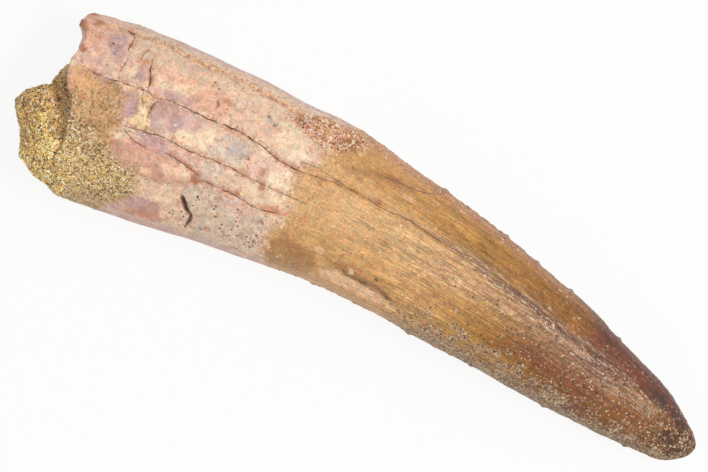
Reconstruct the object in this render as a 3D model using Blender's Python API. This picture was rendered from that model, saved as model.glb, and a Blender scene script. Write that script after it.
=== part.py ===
"""A fossil tooth with its broken root, lying on its side, and the sandstone that fills the root's hollow.

Metres, +Z up. The tooth lies along X with its tip at +X, and its two cutting edges point to +Y and -Y.
The origin is at the middle of the underside, on the surface that the tooth lies on.
"""

import bpy
import numpy as np
from mathutils import Matrix, Vector

MM = 0.001

# Driving dimensions, in millimetres in the tooth's own outline and made metres at the end.
# A centre and a pair of radii are given as (y, z).
TIP_X, TIP_Y, TIP_Z = 44.5, -2.8, 3.3
HOLLOW_CENTRE = (-2.6, 8.3)
HOLLOW_RADII = (5.6, 5.0)
HOLLOW_BOTTOM_X = -25.9
WALL_GAP = 0.4
LUMP_CENTRE = (-4.5, 8.3)
LUMP_RADII = (7.3, 6.6)
LUMP_REACH = 6.1

# The outline, as points (x, y) or (x, z) from the root to the tip
UPPER_EDGE = [(-44, 8.4), (-36, 10.1), (-27, 11.1), (-13, 11.6), (-2, 11.1), (10, 9.4), (24, 6.5),
              (33.5, 3.7), (40.4, 0.7), (43.4, -1.2), (TIP_X, TIP_Y)]
LOWER_EDGE = [(-44, -12.1), (-35, -11.8), (-27, -10.8), (-18, -9.2), (-6, -7.4), (5, -6.5), (20, -6.25),
              (35, -6.5), (40.8, -6.2), (43.4, -4.7), (TIP_X, TIP_Y)]
TOP = [(-44, 16.4), (-32, 17.4), (-18, 16.8), (0, 14.8), (16, 12.2), (29, 10.0), (38, 7.6), (42.6, 5.4),
       (TIP_X, TIP_Z)]
# Two stretches of the underside run below zero, where they are worn flat
UNDERSIDE = [(-44, 0.5), (-37, -0.35), (-24, -0.35), (-10, 0.25), (6, 0.25), (16, -0.35), (27, -0.35),
             (36, 0.15), (42.4, 1.4), (TIP_X, TIP_Z)]
# The slanted break across the root, as points (y, x), and its waves, as (height, radians per mm of y, of z)
BROKEN_END = [(-12, -34.3), (-7, -36.6), (-3, -37.9), (0.5, -40.1), (4, -40.4), (9, -41.6)]
BREAK_WAVES = [(0.25, 1.1, 0.5), (0.2, -0.7, 0.9)]

# How far the cross-section is from an ellipse, which is 2, towards a rectangle
SQUARENESS = 2.15
# The power of cos that the hollow's radii follow, where 1 would make its bottom round
HOLLOW_TAPER = 0.6
# How blunt the lump is towards its sloping side at +Y, and towards its steep side at -Y
LUMP_BLUNTNESS = (1.2, 4.4)
# The lump's knobs, as (share of its radius, count around it, phase)
LUMP_KNOBS = [(0.04, 3, 0.6), (0.03, 5, 2.0)]

# The mesh: points around each ring, and rings along each stretch
AROUND = 40
ALONG = 56
END_STEPS = 4
HOLLOW_STEPS = 8
LUMP_STEPS = 10
# A power above 1 crowds the rings towards the tip
TIP_CROWDING = 1.4
# Each repeat brings the rim of the break nearer to where the outside meets it
RIM_REPEATS = 12

TOOTH_COLOUR, TOOTH_ROUGHNESS = (0.45, 0.26, 0.11), 0.4
SANDSTONE_COLOUR, SANDSTONE_ROUGHNESS = (0.42, 0.28, 0.10), 0.9


def clear_scene():
    for obj in list(bpy.data.objects):
        bpy.data.objects.remove(obj)


def smooth(at, points):
    """A smooth curve through points (position, value): cubic pieces whose slopes follow the neighbours."""
    px, py = np.array(sorted(points), float).T
    slope = np.gradient(py, px)
    i = np.clip(np.searchsorted(px, at) - 1, 0, len(px) - 2)
    step = px[i + 1] - px[i]
    t = np.clip((at - px[i]) / step, 0, 1)
    return ((2 * t**3 - 3 * t**2 + 1) * py[i] + (t**3 - 2 * t**2 + t) * step * slope[i]
            + (3 * t**2 - 2 * t**3) * py[i + 1] + (t**3 - t**2) * step * slope[i + 1])


def outline(x, points):
    """An outline that rounds off at the tip: smooth in the square root of the distance from the tip."""
    rooted = [(-np.sqrt(TIP_X - px), value) for px, value in points]
    return smooth(-np.sqrt(np.maximum(TIP_X - x, 0)), rooted)


def section(x, angle):
    """The point (y, z) of the tooth's outside at x: a slightly squared oval between the four outlines."""
    up, down = outline(x, UPPER_EDGE), outline(x, LOWER_EDGE)
    top, under = outline(x, TOP), outline(x, UNDERSIDE)
    power = 2 / SQUARENESS
    across = np.sign(np.cos(angle)) * np.abs(np.cos(angle)) ** power
    upward = np.sign(np.sin(angle)) * np.abs(np.sin(angle)) ** power
    y = (up + down) / 2 + across * (up - down) / 2
    z = (top + under) / 2 + upward * (top - under) / 2
    return y, z


def broken_end(y, z):
    """The x of the broken end over (y, z): the root snapped on a slant, with a wavy break."""
    waves = sum(height * np.sin(per_y * y + per_z * z) for height, per_y, per_z in BREAK_WAVES)
    return smooth(y, BROKEN_END) + waves


def break_rim(angle):
    """The x at which each line along the outside meets the broken end.

    It starts at the broken end's own middle, and takes the break's x at the outside's point there, in turn.
    """
    x = np.full_like(angle, broken_end(*HOLLOW_CENTRE))
    for _ in range(RIM_REPEATS):
        x = broken_end(*section(x, angle))
    return x


def oval(angle, centre, radii, size=1.0):
    """The points (y, z) of an ellipse, at a share of its full size."""
    return centre[0] + size * radii[0] * np.cos(angle), centre[1] + size * radii[1] * np.sin(angle)


def ring_between(first, second, share):
    """The points (y, z) at a share of the way from one ring of them to another."""
    return [a + (b - a) * share for a, b in zip(first, second)]


def hollow_rings(angle, inset):
    """Rings down the root's hollow from its mouth, and its bottom point, all smaller by an inset.

    Going down, the depth follows the sine of a quarter turn, and the radii a power of its cosine.
    """
    radii = (HOLLOW_RADII[0] - inset, HOLLOW_RADII[1] - inset)
    mouth = broken_end(*oval(angle, HOLLOW_CENTRE, radii))
    bottom = HOLLOW_BOTTOM_X - inset
    rings = []
    for turn in np.linspace(0, np.pi / 2, HOLLOW_STEPS + 1)[:-1]:
        y, z = oval(angle, HOLLOW_CENTRE, radii, np.cos(turn) ** HOLLOW_TAPER)
        rings.append((mouth + (bottom - mouth) * np.sin(turn), y, z))
    return rings, (bottom, *HOLLOW_CENTRE)


def closed_mesh(name, first_pole, rings, last_pole):
    """One closed surface: a pole, rings of equal count joined in turn, and a second pole."""
    points = [first_pole]
    for ring in rings:
        points += np.stack(ring, axis=1).tolist()
    points.append(last_pole)
    faces = []
    for k in range(AROUND):
        n = (k + 1) % AROUND
        faces.append((0, 1 + n, 1 + k))
        for r in range(len(rings) - 1):
            a, b = 1 + r * AROUND, 1 + (r + 1) * AROUND
            faces.append((a + k, a + n, b + n, b + k))
        last = 1 + (len(rings) - 1) * AROUND
        faces.append((last + k, last + n, len(points) - 1))
    mesh = bpy.data.meshes.new(name)
    mesh.from_pydata((np.array(points) * MM).tolist(), [], faces)
    mesh.update()
    mesh.shade_smooth()
    obj = bpy.data.objects.new(name, mesh)
    bpy.context.scene.collection.objects.link(obj)
    return obj


def give_material(obj, colour, roughness):
    material = bpy.data.materials.new(obj.name)
    material.use_nodes = True
    shader = material.node_tree.nodes["Principled BSDF"]
    shader.inputs["Base Color"].default_value = (*colour, 1)
    shader.inputs["Roughness"].default_value = roughness
    shader.inputs["Metallic"].default_value = 0
    obj.data.materials.append(material)


def make_tooth():
    """The tooth: up the root's hollow from its bottom, over the broken end and along the outside to the tip.

    Its rings are worked out from the tip back, and are joined in the other order.
    """
    angle = np.linspace(0, 2 * np.pi, AROUND, endpoint=False)
    rim_x = break_rim(angle)
    rings = []
    for share in np.linspace(0, 1, ALONG + 1)[1:]:
        x = TIP_X + (rim_x - TIP_X) * share**TIP_CROWDING
        y, z = section(x, angle)
        rings.append((x, y, np.maximum(z, 0)))
    rim = rings[-1][1:]
    mouth = oval(angle, HOLLOW_CENTRE, HOLLOW_RADII)
    for share in np.linspace(0, 1, END_STEPS + 1)[1:-1]:
        y, z = ring_between(rim, mouth, share)
        rings.append((broken_end(y, z), y, z))
    inside, bottom = hollow_rings(angle, 0)
    tooth = closed_mesh("tooth", bottom, (rings + inside)[::-1], (TIP_X, TIP_Y, TIP_Z))
    give_material(tooth, TOOTH_COLOUR, TOOTH_ROUGHNESS)
    return tooth


def make_sandstone():
    """The sandstone: a lump outside the broken end, narrowing to a plug in the root's hollow.

    The lump stands off the broken end by its reach times one less a power of the share of the way to its rim.
    The power is low towards +Y, where the lump slopes away, and high towards -Y, where it is blunt.
    """
    angle = np.linspace(0, 2 * np.pi, AROUND, endpoint=False)
    knobs = 1 + sum(height * np.sin(count * angle + phase) for height, count, phase in LUMP_KNOBS)
    sloping, blunt = LUMP_BLUNTNESS
    power = (blunt + sloping) / 2 - (blunt - sloping) / 2 * np.cos(angle)
    rings = []
    for share in np.linspace(0, 1, LUMP_STEPS + 1)[1:]:
        y, z = oval(angle, LUMP_CENTRE, LUMP_RADII, knobs * share)
        rings.append((broken_end(y, z) - WALL_GAP - LUMP_REACH * (1 - share**power), y, z))
    rim = rings[-1][1:]
    plug, bottom = hollow_rings(angle, WALL_GAP)
    neck = plug[0][1:]
    for share in np.linspace(0, 1, END_STEPS + 1)[1:]:
        y, z = ring_between(rim, neck, share)
        rings.append((broken_end(y, z) - WALL_GAP, y, z))
    lump_end = (broken_end(*LUMP_CENTRE) - WALL_GAP - LUMP_REACH, *LUMP_CENTRE)
    sandstone = closed_mesh("sandstone", lump_end, rings + plug[1:], bottom)
    give_material(sandstone, SANDSTONE_COLOUR, SANDSTONE_ROUGHNESS)
    return sandstone


def centre_on_underside(objects):
    """Puts the origin at the middle of the whole specimen's underside."""
    points = np.array([v.co for obj in objects for v in obj.data.vertices])
    low, high = points.min(axis=0), points.max(axis=0)
    middle = Vector(((low[0] + high[0]) / 2, (low[1] + high[1]) / 2, low[2]))
    for obj in objects:
        obj.data.transform(Matrix.Translation(-middle))


clear_scene()
centre_on_underside([make_tooth(), make_sandstone()])
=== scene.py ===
"""The looks of a fossil tooth that lies on its side, with hard sandstone in its broken root.

Every piece is a grid of points worked out in millimetres in the frame, and made metres as its mesh is built.
"""

import itertools

import bpy
import numpy as np
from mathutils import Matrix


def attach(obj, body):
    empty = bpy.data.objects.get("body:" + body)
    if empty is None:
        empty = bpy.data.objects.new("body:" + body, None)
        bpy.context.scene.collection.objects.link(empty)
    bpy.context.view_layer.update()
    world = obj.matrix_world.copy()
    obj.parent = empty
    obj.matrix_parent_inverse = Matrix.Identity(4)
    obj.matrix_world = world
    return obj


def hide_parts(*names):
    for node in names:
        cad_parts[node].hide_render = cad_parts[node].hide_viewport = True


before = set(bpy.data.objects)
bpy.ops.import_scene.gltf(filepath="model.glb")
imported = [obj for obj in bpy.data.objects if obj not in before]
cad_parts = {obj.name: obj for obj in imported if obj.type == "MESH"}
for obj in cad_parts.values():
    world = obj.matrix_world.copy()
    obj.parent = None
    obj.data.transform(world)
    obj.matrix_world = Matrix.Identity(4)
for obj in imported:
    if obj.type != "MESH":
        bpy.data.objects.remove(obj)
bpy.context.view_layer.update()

# The camera looks straight down on the tooth's upper face through a long lens, as the photograph does.
# It is turned about the vertical so that the tip points down to the right.
MM = 0.001
CAMERA_PLACE = (-2.29, 0.37, 689.8)
CAMERA_TURN = 28.16
CAMERA_LENS = 300
CAMERA_REACH = 10000

camera = bpy.data.objects.new("camera", bpy.data.cameras.new("camera"))
camera.data.lens = CAMERA_LENS
camera.data.clip_end = CAMERA_REACH * MM
camera.location = [place * MM for place in CAMERA_PLACE]
camera.rotation_euler = (0, 0, np.radians(CAMERA_TURN))
bpy.context.scene.collection.objects.link(camera)
bpy.context.scene.camera = camera
bpy.context.scene.view_settings.view_transform = "Standard"

# The tooth is one grown piece: a long glossy crown of enamel over dentine, and the upper part of its duller
# root. It bends towards +Y, a cutting edge runs along each side, and its root is snapped across on a slant.
# The outline is the CAD model's own, as points (x, y) or (x, z), with the tip's place in it given first.
TIP = (44.5, -2.8, 3.3)
UPPER_EDGE = [(-44, 8.4), (-36, 10.1), (-27, 11.1), (-13, 11.6), (-2, 11.1), (10, 9.4), (24, 6.5),
              (33.5, 3.7), (40.4, 0.7), (43.4, -1.2), TIP[:2]]
LOWER_EDGE = [(-44, -12.1), (-35, -11.8), (-27, -10.8), (-18, -9.2), (-6, -7.4), (5, -6.5), (20, -6.25),
              (35, -6.5), (40.8, -6.2), (43.4, -4.7), TIP[:2]]
TOP = [(-44, 16.4), (-32, 17.4), (-18, 16.8), (0, 14.8), (16, 12.2), (29, 10.0), (38, 7.6), (42.6, 5.4),
       TIP[::2]]
UNDERSIDE = [(-44, 0.5), (-37, -0.35), (-24, -0.35), (-10, 0.25), (6, 0.25), (16, -0.35), (27, -0.35),
             (36, 0.15), (42.4, 1.4), TIP[::2]]
SQUARENESS = 2.15
# The slanted break across the root, as points (y, x), and its waves, as (height, radians per mm of y, of z)
BROKEN_END = [(-12, -34.3), (-7, -36.6), (-3, -37.9), (0.5, -40.1), (4, -40.4), (9, -41.6)]
BREAK_WAVES = [(0.25, 1.1, 0.5), (0.2, -0.7, 0.9)]
RIM_REPEATS = 12
# The root's hollow, as (y, z) and (radius in y, radius in z), and the x of its bottom
HOLLOW_CENTRE, HOLLOW_RADII, HOLLOW_BOTTOM_X = (-2.6, 8.3), (5.6, 5.0), -25.9
HOLLOW_TAPER = 0.6
# The grid: rings along the outside, over the broken end and down the hollow, and points around each ring
SKIN_RINGS, END_RINGS, HOLLOW_RINGS = 470, 12, 5
AROUND_UPPER, AROUND_LOWER = 136, 58
# Where the rings along the outside stand, as (share of the rings, share of the way from the tip to the rim)
RING_PLACES = [(0, 0), (0.04, 0.012), (0.12, 0.08), (0.57, 0.63), (0.8, 0.825), (1, 1)]


def smooth(at, points):
    """A smooth curve through points (position, value): cubic pieces whose slopes follow the neighbours."""
    px, py = np.array(sorted(points), float).T
    slope = np.gradient(py, px)
    i = np.clip(np.searchsorted(px, at) - 1, 0, len(px) - 2)
    step = px[i + 1] - px[i]
    t = np.clip((at - px[i]) / step, 0, 1)
    return ((2 * t**3 - 3 * t**2 + 1) * py[i] + (t**3 - 2 * t**2 + t) * step * slope[i]
            + (3 * t**2 - 2 * t**3) * py[i + 1] + (t**3 - t**2) * step * slope[i + 1])


def soft_step(value, low, high):
    """0 below low, 1 above high, and between them three times the square less twice the cube of the share."""
    t = np.clip((value - low) / (high - low), 0, 1)
    return t * t * (3 - 2 * t)


def outline(x, points):
    """An outline that rounds off at the tip: smooth in the square root of the distance from the tip."""
    rooted = [(-np.sqrt(TIP[0] - px), value) for px, value in points]
    return smooth(-np.sqrt(np.maximum(TIP[0] - x, 0)), rooted)


def section(x, angle):
    """The point (y, z) of the outside at x: a slightly squared oval between the four outlines."""
    up, down = outline(x, UPPER_EDGE), outline(x, LOWER_EDGE)
    top, under = outline(x, TOP), outline(x, UNDERSIDE)
    power = 2 / SQUARENESS
    across = np.sign(np.cos(angle)) * np.abs(np.cos(angle)) ** power
    upward = np.sign(np.sin(angle)) * np.abs(np.sin(angle)) ** power
    return (up + down) / 2 + across * (up - down) / 2, (top + under) / 2 + upward * (top - under) / 2


def broken_end(y, z):
    """The x of the broken end over (y, z): a slanted curve with sine waves across it."""
    waves = sum(height * np.sin(per_y * y + per_z * z) for height, per_y, per_z in BREAK_WAVES)
    return smooth(y, BROKEN_END) + waves


def break_rim(angle):
    """The x at which each line along the outside meets the broken end, found by taking each in turn."""
    x = np.full_like(angle, broken_end(*HOLLOW_CENTRE))
    for _ in range(RIM_REPEATS):
        x = broken_end(*section(x, angle))
    return x


def oval(angle, centre, radii, size=1.0):
    """The points (y, z) of an ellipse, at a share of its full size."""
    return centre[0] + size * radii[0] * np.cos(angle), centre[1] + size * radii[1] * np.sin(angle)


def tooth_rings(angle):
    """The tooth's rings from its tip: along the outside, in over the broken end and down the hollow.

    Outside, x goes from the tip to the rim, crowded at both. Over the end, each point goes straight from the
    rim to the hollow's mouth. Down the hollow, depth is a sine and the radii are a power of the cosine.
    """
    rim_x = break_rim(angle)
    rings = []
    for share in np.linspace(0, 1, SKIN_RINGS + 1)[1:]:
        x = TIP[0] + (rim_x - TIP[0]) * smooth(share, RING_PLACES)
        rings.append((x, *section(x, angle)))
    rim = np.array(rings[-1][1:])
    mouth = np.array(oval(angle, HOLLOW_CENTRE, HOLLOW_RADII))
    for share in np.linspace(0, 1, END_RINGS + 1)[1:]:
        y, z = rim + (mouth - rim) * share
        rings.append((broken_end(y, z), y, z))
    mouth_x = rings[-1][0]
    for turn in np.linspace(0, np.pi / 2, HOLLOW_RINGS + 1)[1:-1]:
        y, z = oval(angle, HOLLOW_CENTRE, HOLLOW_RADII, np.cos(turn) ** HOLLOW_TAPER)
        rings.append((mouth_x + (HOLLOW_BOTTOM_X - mouth_x) * np.sin(turn), y, z))
    return np.moveaxis(np.array(rings), 1, 2)


def outward(rings):
    """The unit normal at each point of a grid of rings: the step along it crossed with the step around it."""
    along = np.gradient(rings, axis=0)
    around = np.roll(rings, -1, axis=1) - np.roll(rings, 1, axis=1)
    normal = np.cross(along, around)
    return normal / np.maximum(np.linalg.norm(normal, axis=-1, keepdims=True), 1e-9)


LATTICE_SIZE = 32
LATTICE = np.random.default_rng(11).uniform(-1, 1, [LATTICE_SIZE] * 3)
# How far each further octave is moved along, so that its lattice doesn't line up with the one before
OCTAVE_SHIFT = 5.3


def relief(points, size, shift=0.0, octaves=1):
    """Smooth random heights from -1 to 1 over points, in bumps of about a size, or of a size for each axis.

    Random numbers stand at the corners of a lattice of boxes, and a point takes their blend, each weighted by
    smooth steps along the axes. Each further octave is half as large and half as strong.
    """
    scaled = points / np.array(size, float) + shift
    total, strength = 0.0, 1.0
    for _ in range(octaves):
        cell = np.floor(scaled).astype(int)
        t = soft_step(scaled - cell, 0, 1)
        for corner in itertools.product((0, 1), repeat=3):
            weight = np.prod(np.where(corner, t, 1 - t), axis=-1)
            here = tuple(np.moveaxis((cell + corner) % LATTICE_SIZE, -1, 0))
            total = total + strength * weight * LATTICE[here]
        scaled = scaled * 2 + OCTAVE_SHIFT
        strength /= 2
    return total / (2 - 2 * strength)


def distance_to(path, x, y):
    """How far each point (x, y) is from a line through the path's points, and how far along the path it lies.

    It is the distance to the nearest stretch, and is negative on the line's right-hand side.
    """
    nearest, along, done = np.full(np.shape(x), np.inf), np.zeros(np.shape(x)), 0.0
    for (ax, ay), (bx, by) in zip(path[:-1], path[1:]):
        dx, dy = bx - ax, by - ay
        length = np.hypot(dx, dy)
        t = np.clip(((x - ax) * dx + (y - ay) * dy) / length**2, 0, 1)
        gap = np.hypot(x - ax - t * dx, y - ay - t * dy)
        side = np.where(dx * (y - ay) - dy * (x - ax) < 0, -1, 1)
        closer = gap < np.abs(nearest)
        nearest = np.where(closer, gap * side, nearest)
        along = np.where(closer, done + t * length, along)
        done += length
    return nearest, along, done


def depth_inside(path, x, y):
    """How far each point is inside a closed outline, negative outside it: the distance to the nearest side.

    A point is inside where a line from it towards +x crosses the outline an odd number of times.
    """
    closed = [*path, path[0]]
    gap = np.abs(distance_to(closed, x, y)[0])
    inside = np.zeros(np.shape(x), bool)
    for (ax, ay), (bx, by) in zip(closed[:-1], closed[1:]):
        if ay != by:
            inside ^= ((ay > y) != (by > y)) & (x < ax + (y - ay) * (bx - ax) / (by - ay))
    return np.where(inside, gap, -gap)


# The tones of the fossil, as linear light: the root's first, then the crown's, the stains' and the sand's
TONES = {
    "cream": (0.91, 0.71, 0.49), "bone": (0.78, 0.56, 0.39), "blush": (0.79, 0.51, 0.40),
    "peach": (0.87, 0.56, 0.38), "salmon": (0.77, 0.44, 0.31), "coral": (0.66, 0.30, 0.17),
    "lilac": (0.56, 0.36, 0.36), "mauve": (0.56, 0.32, 0.26), "plum": (0.56, 0.29, 0.21),
    "ash": (0.68, 0.53, 0.41), "slate": (0.54, 0.47, 0.44), "straw": (0.86, 0.64, 0.32),
    "pearl": (0.72, 0.54, 0.42), "orange": (0.82, 0.47, 0.22), "honey": (0.67, 0.42, 0.20),
    "oak": (0.58, 0.34, 0.14), "olive": (0.46, 0.255, 0.085), "toffee": (0.35, 0.17, 0.055),
    "chestnut": (0.29, 0.12, 0.04), "umber": (0.19, 0.075, 0.03), "sienna": (0.25, 0.095, 0.035),
    # The rosy crown tone on the next line is a painted highlight, not a colour of the enamel
    "amber": (0.30, 0.12, 0.015), "rosy_highlight": (0.66, 0.45, 0.31), "walnut": (0.42, 0.24, 0.12),
    "smoke": (0.29, 0.18, 0.12), "dusk": (0.20, 0.12, 0.10), "dove": (0.46, 0.34, 0.26),
    "coal": (0.09, 0.065, 0.05), "night": (0.11, 0.07, 0.05), "pit": (0.07, 0.028, 0.018),
    "rust": (0.44, 0.18, 0.10), "blood": (0.13, 0.045, 0.03), "ivory": (0.88, 0.76, 0.66),
    "film": (0.66, 0.36, 0.16), "bark": (0.42, 0.20, 0.10), "moss": (0.42, 0.29, 0.15),
}
# The enamel's ground along the side above the longest crack and the side below it, as (x, tone)
UPPER_SIDE = [(-8, "honey"), (3, "oak"), (12, "olive"), (24, "toffee"), (26, "toffee"), (30, "umber"),
              (45, "umber")]
LOWER_SIDE = [(-8, "honey"), (6, "honey"), (11, "oak"), (16, "olive"), (22, "toffee"), (30, "chestnut"),
              (37, "toffee"), (43, "umber")]
# Where the enamel begins, as points (y, x)
CROWN_BORDER = [(-9, -9.5), (-6, -10.8), (-4.4, -11.2), (-2, -10.1), (2.3, -10.8), (4.3, -10.9), (6, -9.5),
                (7.6, -9.2), (10.7, -8.1)]

# Flaked and stained patches of the root's upper face: the tone, how soft its edge is and how far it stands
# up, both in mm, and its outline
ROOT_PATCHES = [
    ("blush", 0.1, 0.05, [(-43, 10.5), (-36.8, 10.3), (-34.9, 9.1), (-34.9, 6.1), (-35.4, 3.2), (-38.5, 2.9),
        (-43, 3.5)]),
    ("salmon", 0.8, 0, [(-42, 8.8), (-38.6, 9.3), (-38.0, 7.0), (-38.9, 5.2), (-41.5, 5.5)]),
    ("lilac", 0.4, 0, [(-38.0, 7.6), (-36.6, 8.6), (-35.3, 7.9), (-35.2, 6.3), (-36.4, 5.4), (-37.6, 6.1)]),
    ("peach", 0.3, 0, [(-32.9, 6.6), (-29.8, 7.5), (-26.8, 7.7), (-23.6, 8.3), (-22.0, 7.8), (-21.3, 5.2),
        (-22.8, 4.6), (-27.8, 4.3), (-31.5, 4.1)]),
    ("cream", 0.8, 0, [(-30.3, 5.3), (-28.8, 6.2), (-27.0, 6.6), (-26.6, 5.7), (-28.4, 5.1)]),
    ("salmon", 0.1, 0.04, [(-25.9, 5.8), (-25.1, 7.0), (-23.6, 7.7), (-21.9, 7.6), (-21.9, 6.4), (-21.4, 5.2),
        (-22.8, 4.8), (-25.3, 5.0)]),
    ("salmon", 0.4, 0, [(-31.6, 6.6), (-28.6, 7.0), (-26.6, 7.3), (-27.0, 6.7), (-30.2, 6.0)]),
    ("lilac", 0.4, 0, [(-30.9, 4.5), (-27.6, 5.4), (-25.4, 5.6), (-25.2, 4.6), (-28.2, 4.2)]),
    ("coral", 0.12, 0, [(-33.6, 6.4), (-32.2, 7.1), (-31.9, 6.5), (-33.3, 5.9)]),
    ("lilac", 0.2, 0, [(-33.0, 5.9), (-32.0, 6.3), (-31.4, 5.2), (-31.8, 4.5), (-32.8, 4.8)]),
    ("blush", 0.3, 0, [(-34.7, 6.8), (-33.6, 7.2), (-33.5, 5.2), (-34.4, 4.2)]),
    ("mauve", 0.12, -0.06, [(-33.4, 2.6), (-32.0, 3.5), (-31.3, 2.7), (-30.6, 0.8), (-31.2, -0.2),
        (-32.4, 0.3)]),
    ("lilac", 0.2, 0, [(-32.5, 1.8), (-31.5, 2.6), (-30.8, 1.2), (-31.2, 0.2), (-31.9, 0.3)]),
    ("straw", 0.12, 0.03, [(-31.6, 3.4), (-30.1, 3.6), (-29.6, 2.9), (-28.5, 0.3), (-29.9, -0.6),
        (-30.9, 0.2), (-30.8, 1.6)]),
    ("cream", 0.3, 0, [(-31.0, 2.4), (-30.2, 3.1), (-29.8, 2.2), (-29.3, 0.6), (-30.1, 0.5), (-30.5, 1.4)]),
    ("lilac", 0.1, 0.02, [(-29.7, 3.5), (-27.4, 4.0), (-24.1, 4.0), (-22.1, 3.8), (-23.3, 2.6), (-25.3, 1.6),
        (-26.9, 0.6), (-28.5, 0.3), (-29.3, 2.2)]),
    ("mauve", 0.5, 0, [(-29.4, 3.1), (-27.0, 3.8), (-25.6, 3.5), (-26.6, 2.2), (-28.8, 1.6)]),
    ("blush", 0.7, 0, [(-25.8, 3.7), (-22.4, 3.9), (-22.9, 2.9), (-24.8, 2.3)]),
    ("cream", 0.35, 0.03, [(-26.0, 1.3), (-23.6, 2.4), (-22.3, 3.4), (-21.4, 2.4), (-22.3, 0.7),
        (-24.6, 0.2)]),
    ("ash", 0.25, 0.05, [(-21.9, 2.1), (-20.2, 3.8), (-18.4, 4.2), (-16.8, 3.9), (-16.7, 2.7), (-17.8, 1.3),
        (-19.3, 1.0), (-21.6, 0.9)]),
    ("slate", 0.5, 0, [(-19.8, 3.1), (-18.2, 3.6), (-17.3, 2.8), (-17.6, 1.9), (-19.4, 1.8)]),
    ("ash", 0.15, 0, [(-21.7, 0.0), (-19.5, 0.5), (-18.7, -0.2), (-19.0, -1.6), (-20.2, -1.9),
        (-21.1, -1.0)]),
    ("blush", 0.3, 0, [(-28.2, -0.6), (-24.5, 0.0), (-21.4, 0.1), (-21.2, -1.0), (-23.0, -1.4),
        (-26.0, -0.9)]),
    ("plum", 0.15, -0.07, [(-34.0, -3.2), (-30.4, -2.6), (-28.0, -0.9), (-25.3, -1.0), (-22.8, -1.7),
        (-20.0, -2.2), (-20.9, -3.2), (-22.4, -4.1), (-24.6, -4.8), (-26.9, -5.2), (-30.8, -5.4)]),
    ("salmon", 0.7, 0, [(-30.2, -3.1), (-27.6, -1.6), (-25.9, -2.6), (-27.4, -4.2), (-30.0, -4.4)]),
    ("peach", 0.35, 0.03, [(-26.3, -2.7), (-24.5, -1.8), (-22.6, -1.9), (-21.6, -2.5), (-22.3, -3.3),
        (-24.5, -3.8)]),
    ("cream", 0.3, 0, [(-23.4, -2.5), (-22.4, -2.0), (-21.8, -2.6), (-22.8, -3.0)]),
    ("rust", 0.15, 0, [(-21.9, -2.1), (-20.0, -2.2), (-20.7, -3.0), (-21.7, -3.0)]),
    ("ash", 0.3, 0.03, [(-21.9, -4.1), (-19.1, -1.9), (-16.5, -1.9), (-12.8, -2.5), (-11.2, -5.2),
        (-12.2, -7.2), (-18.1, -8.6), (-20.6, -7.0)]),
    ("blush", 0.3, 0, [(-18.6, -2.4), (-15.6, -2.2), (-13.2, -3.0), (-14.9, -4.2), (-17.6, -3.6)]),
    ("bone", 0.12, 0.02, [(-24.9, -6.3), (-23.6, -5.4), (-22.0, -4.9), (-21.1, -5.8), (-20.3, -6.9),
        (-22.3, -7.1)]),
    ("peach", 0.3, 0, [(-25.4, -6.3), (-24.4, -5.7), (-23.9, -6.1), (-24.7, -6.9)]),
    ("lilac", 0.3, -0.03, [(-30.0, -1.0), (-28.6, -0.2), (-26.6, 0.0), (-25.4, -0.9), (-26.4, -1.7),
        (-28.5, -1.6)]),
    ("mauve", 0.12, -0.05, [(-28.4, -8.0), (-26.4, -7.3), (-24.4, -7.3), (-23.2, -7.4), (-22.0, -8.3),
        (-22.9, -8.9), (-24.8, -9.5), (-27.3, -9.9), (-29.0, -9.9)]),
    ("coral", 0.5, 0, [(-27.0, -8.9), (-24.4, -8.5), (-23.3, -8.7), (-24.6, -9.4), (-26.8, -9.6)]),
    ("lilac", 0.35, 0, [(-28.2, -8.0), (-26.4, -7.4), (-24.8, -7.5), (-25.4, -8.4), (-27.6, -8.8)]),
    ("peach", 0.25, 0, [(-23.4, -7.5), (-22.3, -8.0), (-22.6, -8.7), (-23.2, -8.3)]),
    ("cream", 0.2, 0.03, [(-24.6, -6.6), (-23.6, -6.0), (-22.9, -6.4), (-23.9, -6.9)]),
    ("blush", 0.3, 0, [(-17.0, 3.5), (-14.0, 3.9), (-12.4, 3.5), (-13.6, 1.6), (-15.8, 1.0), (-17.2, 1.6)]),
    ("coral", 0.3, 0, [(-15.4, 2.2), (-14.5, 2.6), (-14.1, 1.8), (-14.8, 1.2), (-15.6, 1.5)]),
    ("cream", 0.35, 0.03, [(-14.3, 2.2), (-12.6, 3.4), (-10.9, 3.3), (-10.0, 1.8), (-10.3, -0.2),
        (-11.9, -0.9), (-13.7, 0.4)]),
    ("cream", 0.5, 0.02, [(-15.6, 8.3), (-13.6, 8.6), (-12.0, 7.4), (-11.0, 5.8), (-12.0, 4.7),
        (-14.6, 5.1)]),
    ("coral", 0.2, 0, [(-13.8, -1.5), (-12.4, -1.0), (-10.0, -0.9), (-10.3, -1.5), (-12.9, -2.3)]),
    ("salmon", 0.35, 0.08, [(-15.2, 8.9), (-14.0, 10.3), (-9.1, 10.9), (-5.5, 10.6), (-6.0, 9.2), (-9.4, 7.9),
        (-11.1, 8.1), (-13.1, 8.6)]),
]
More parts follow.
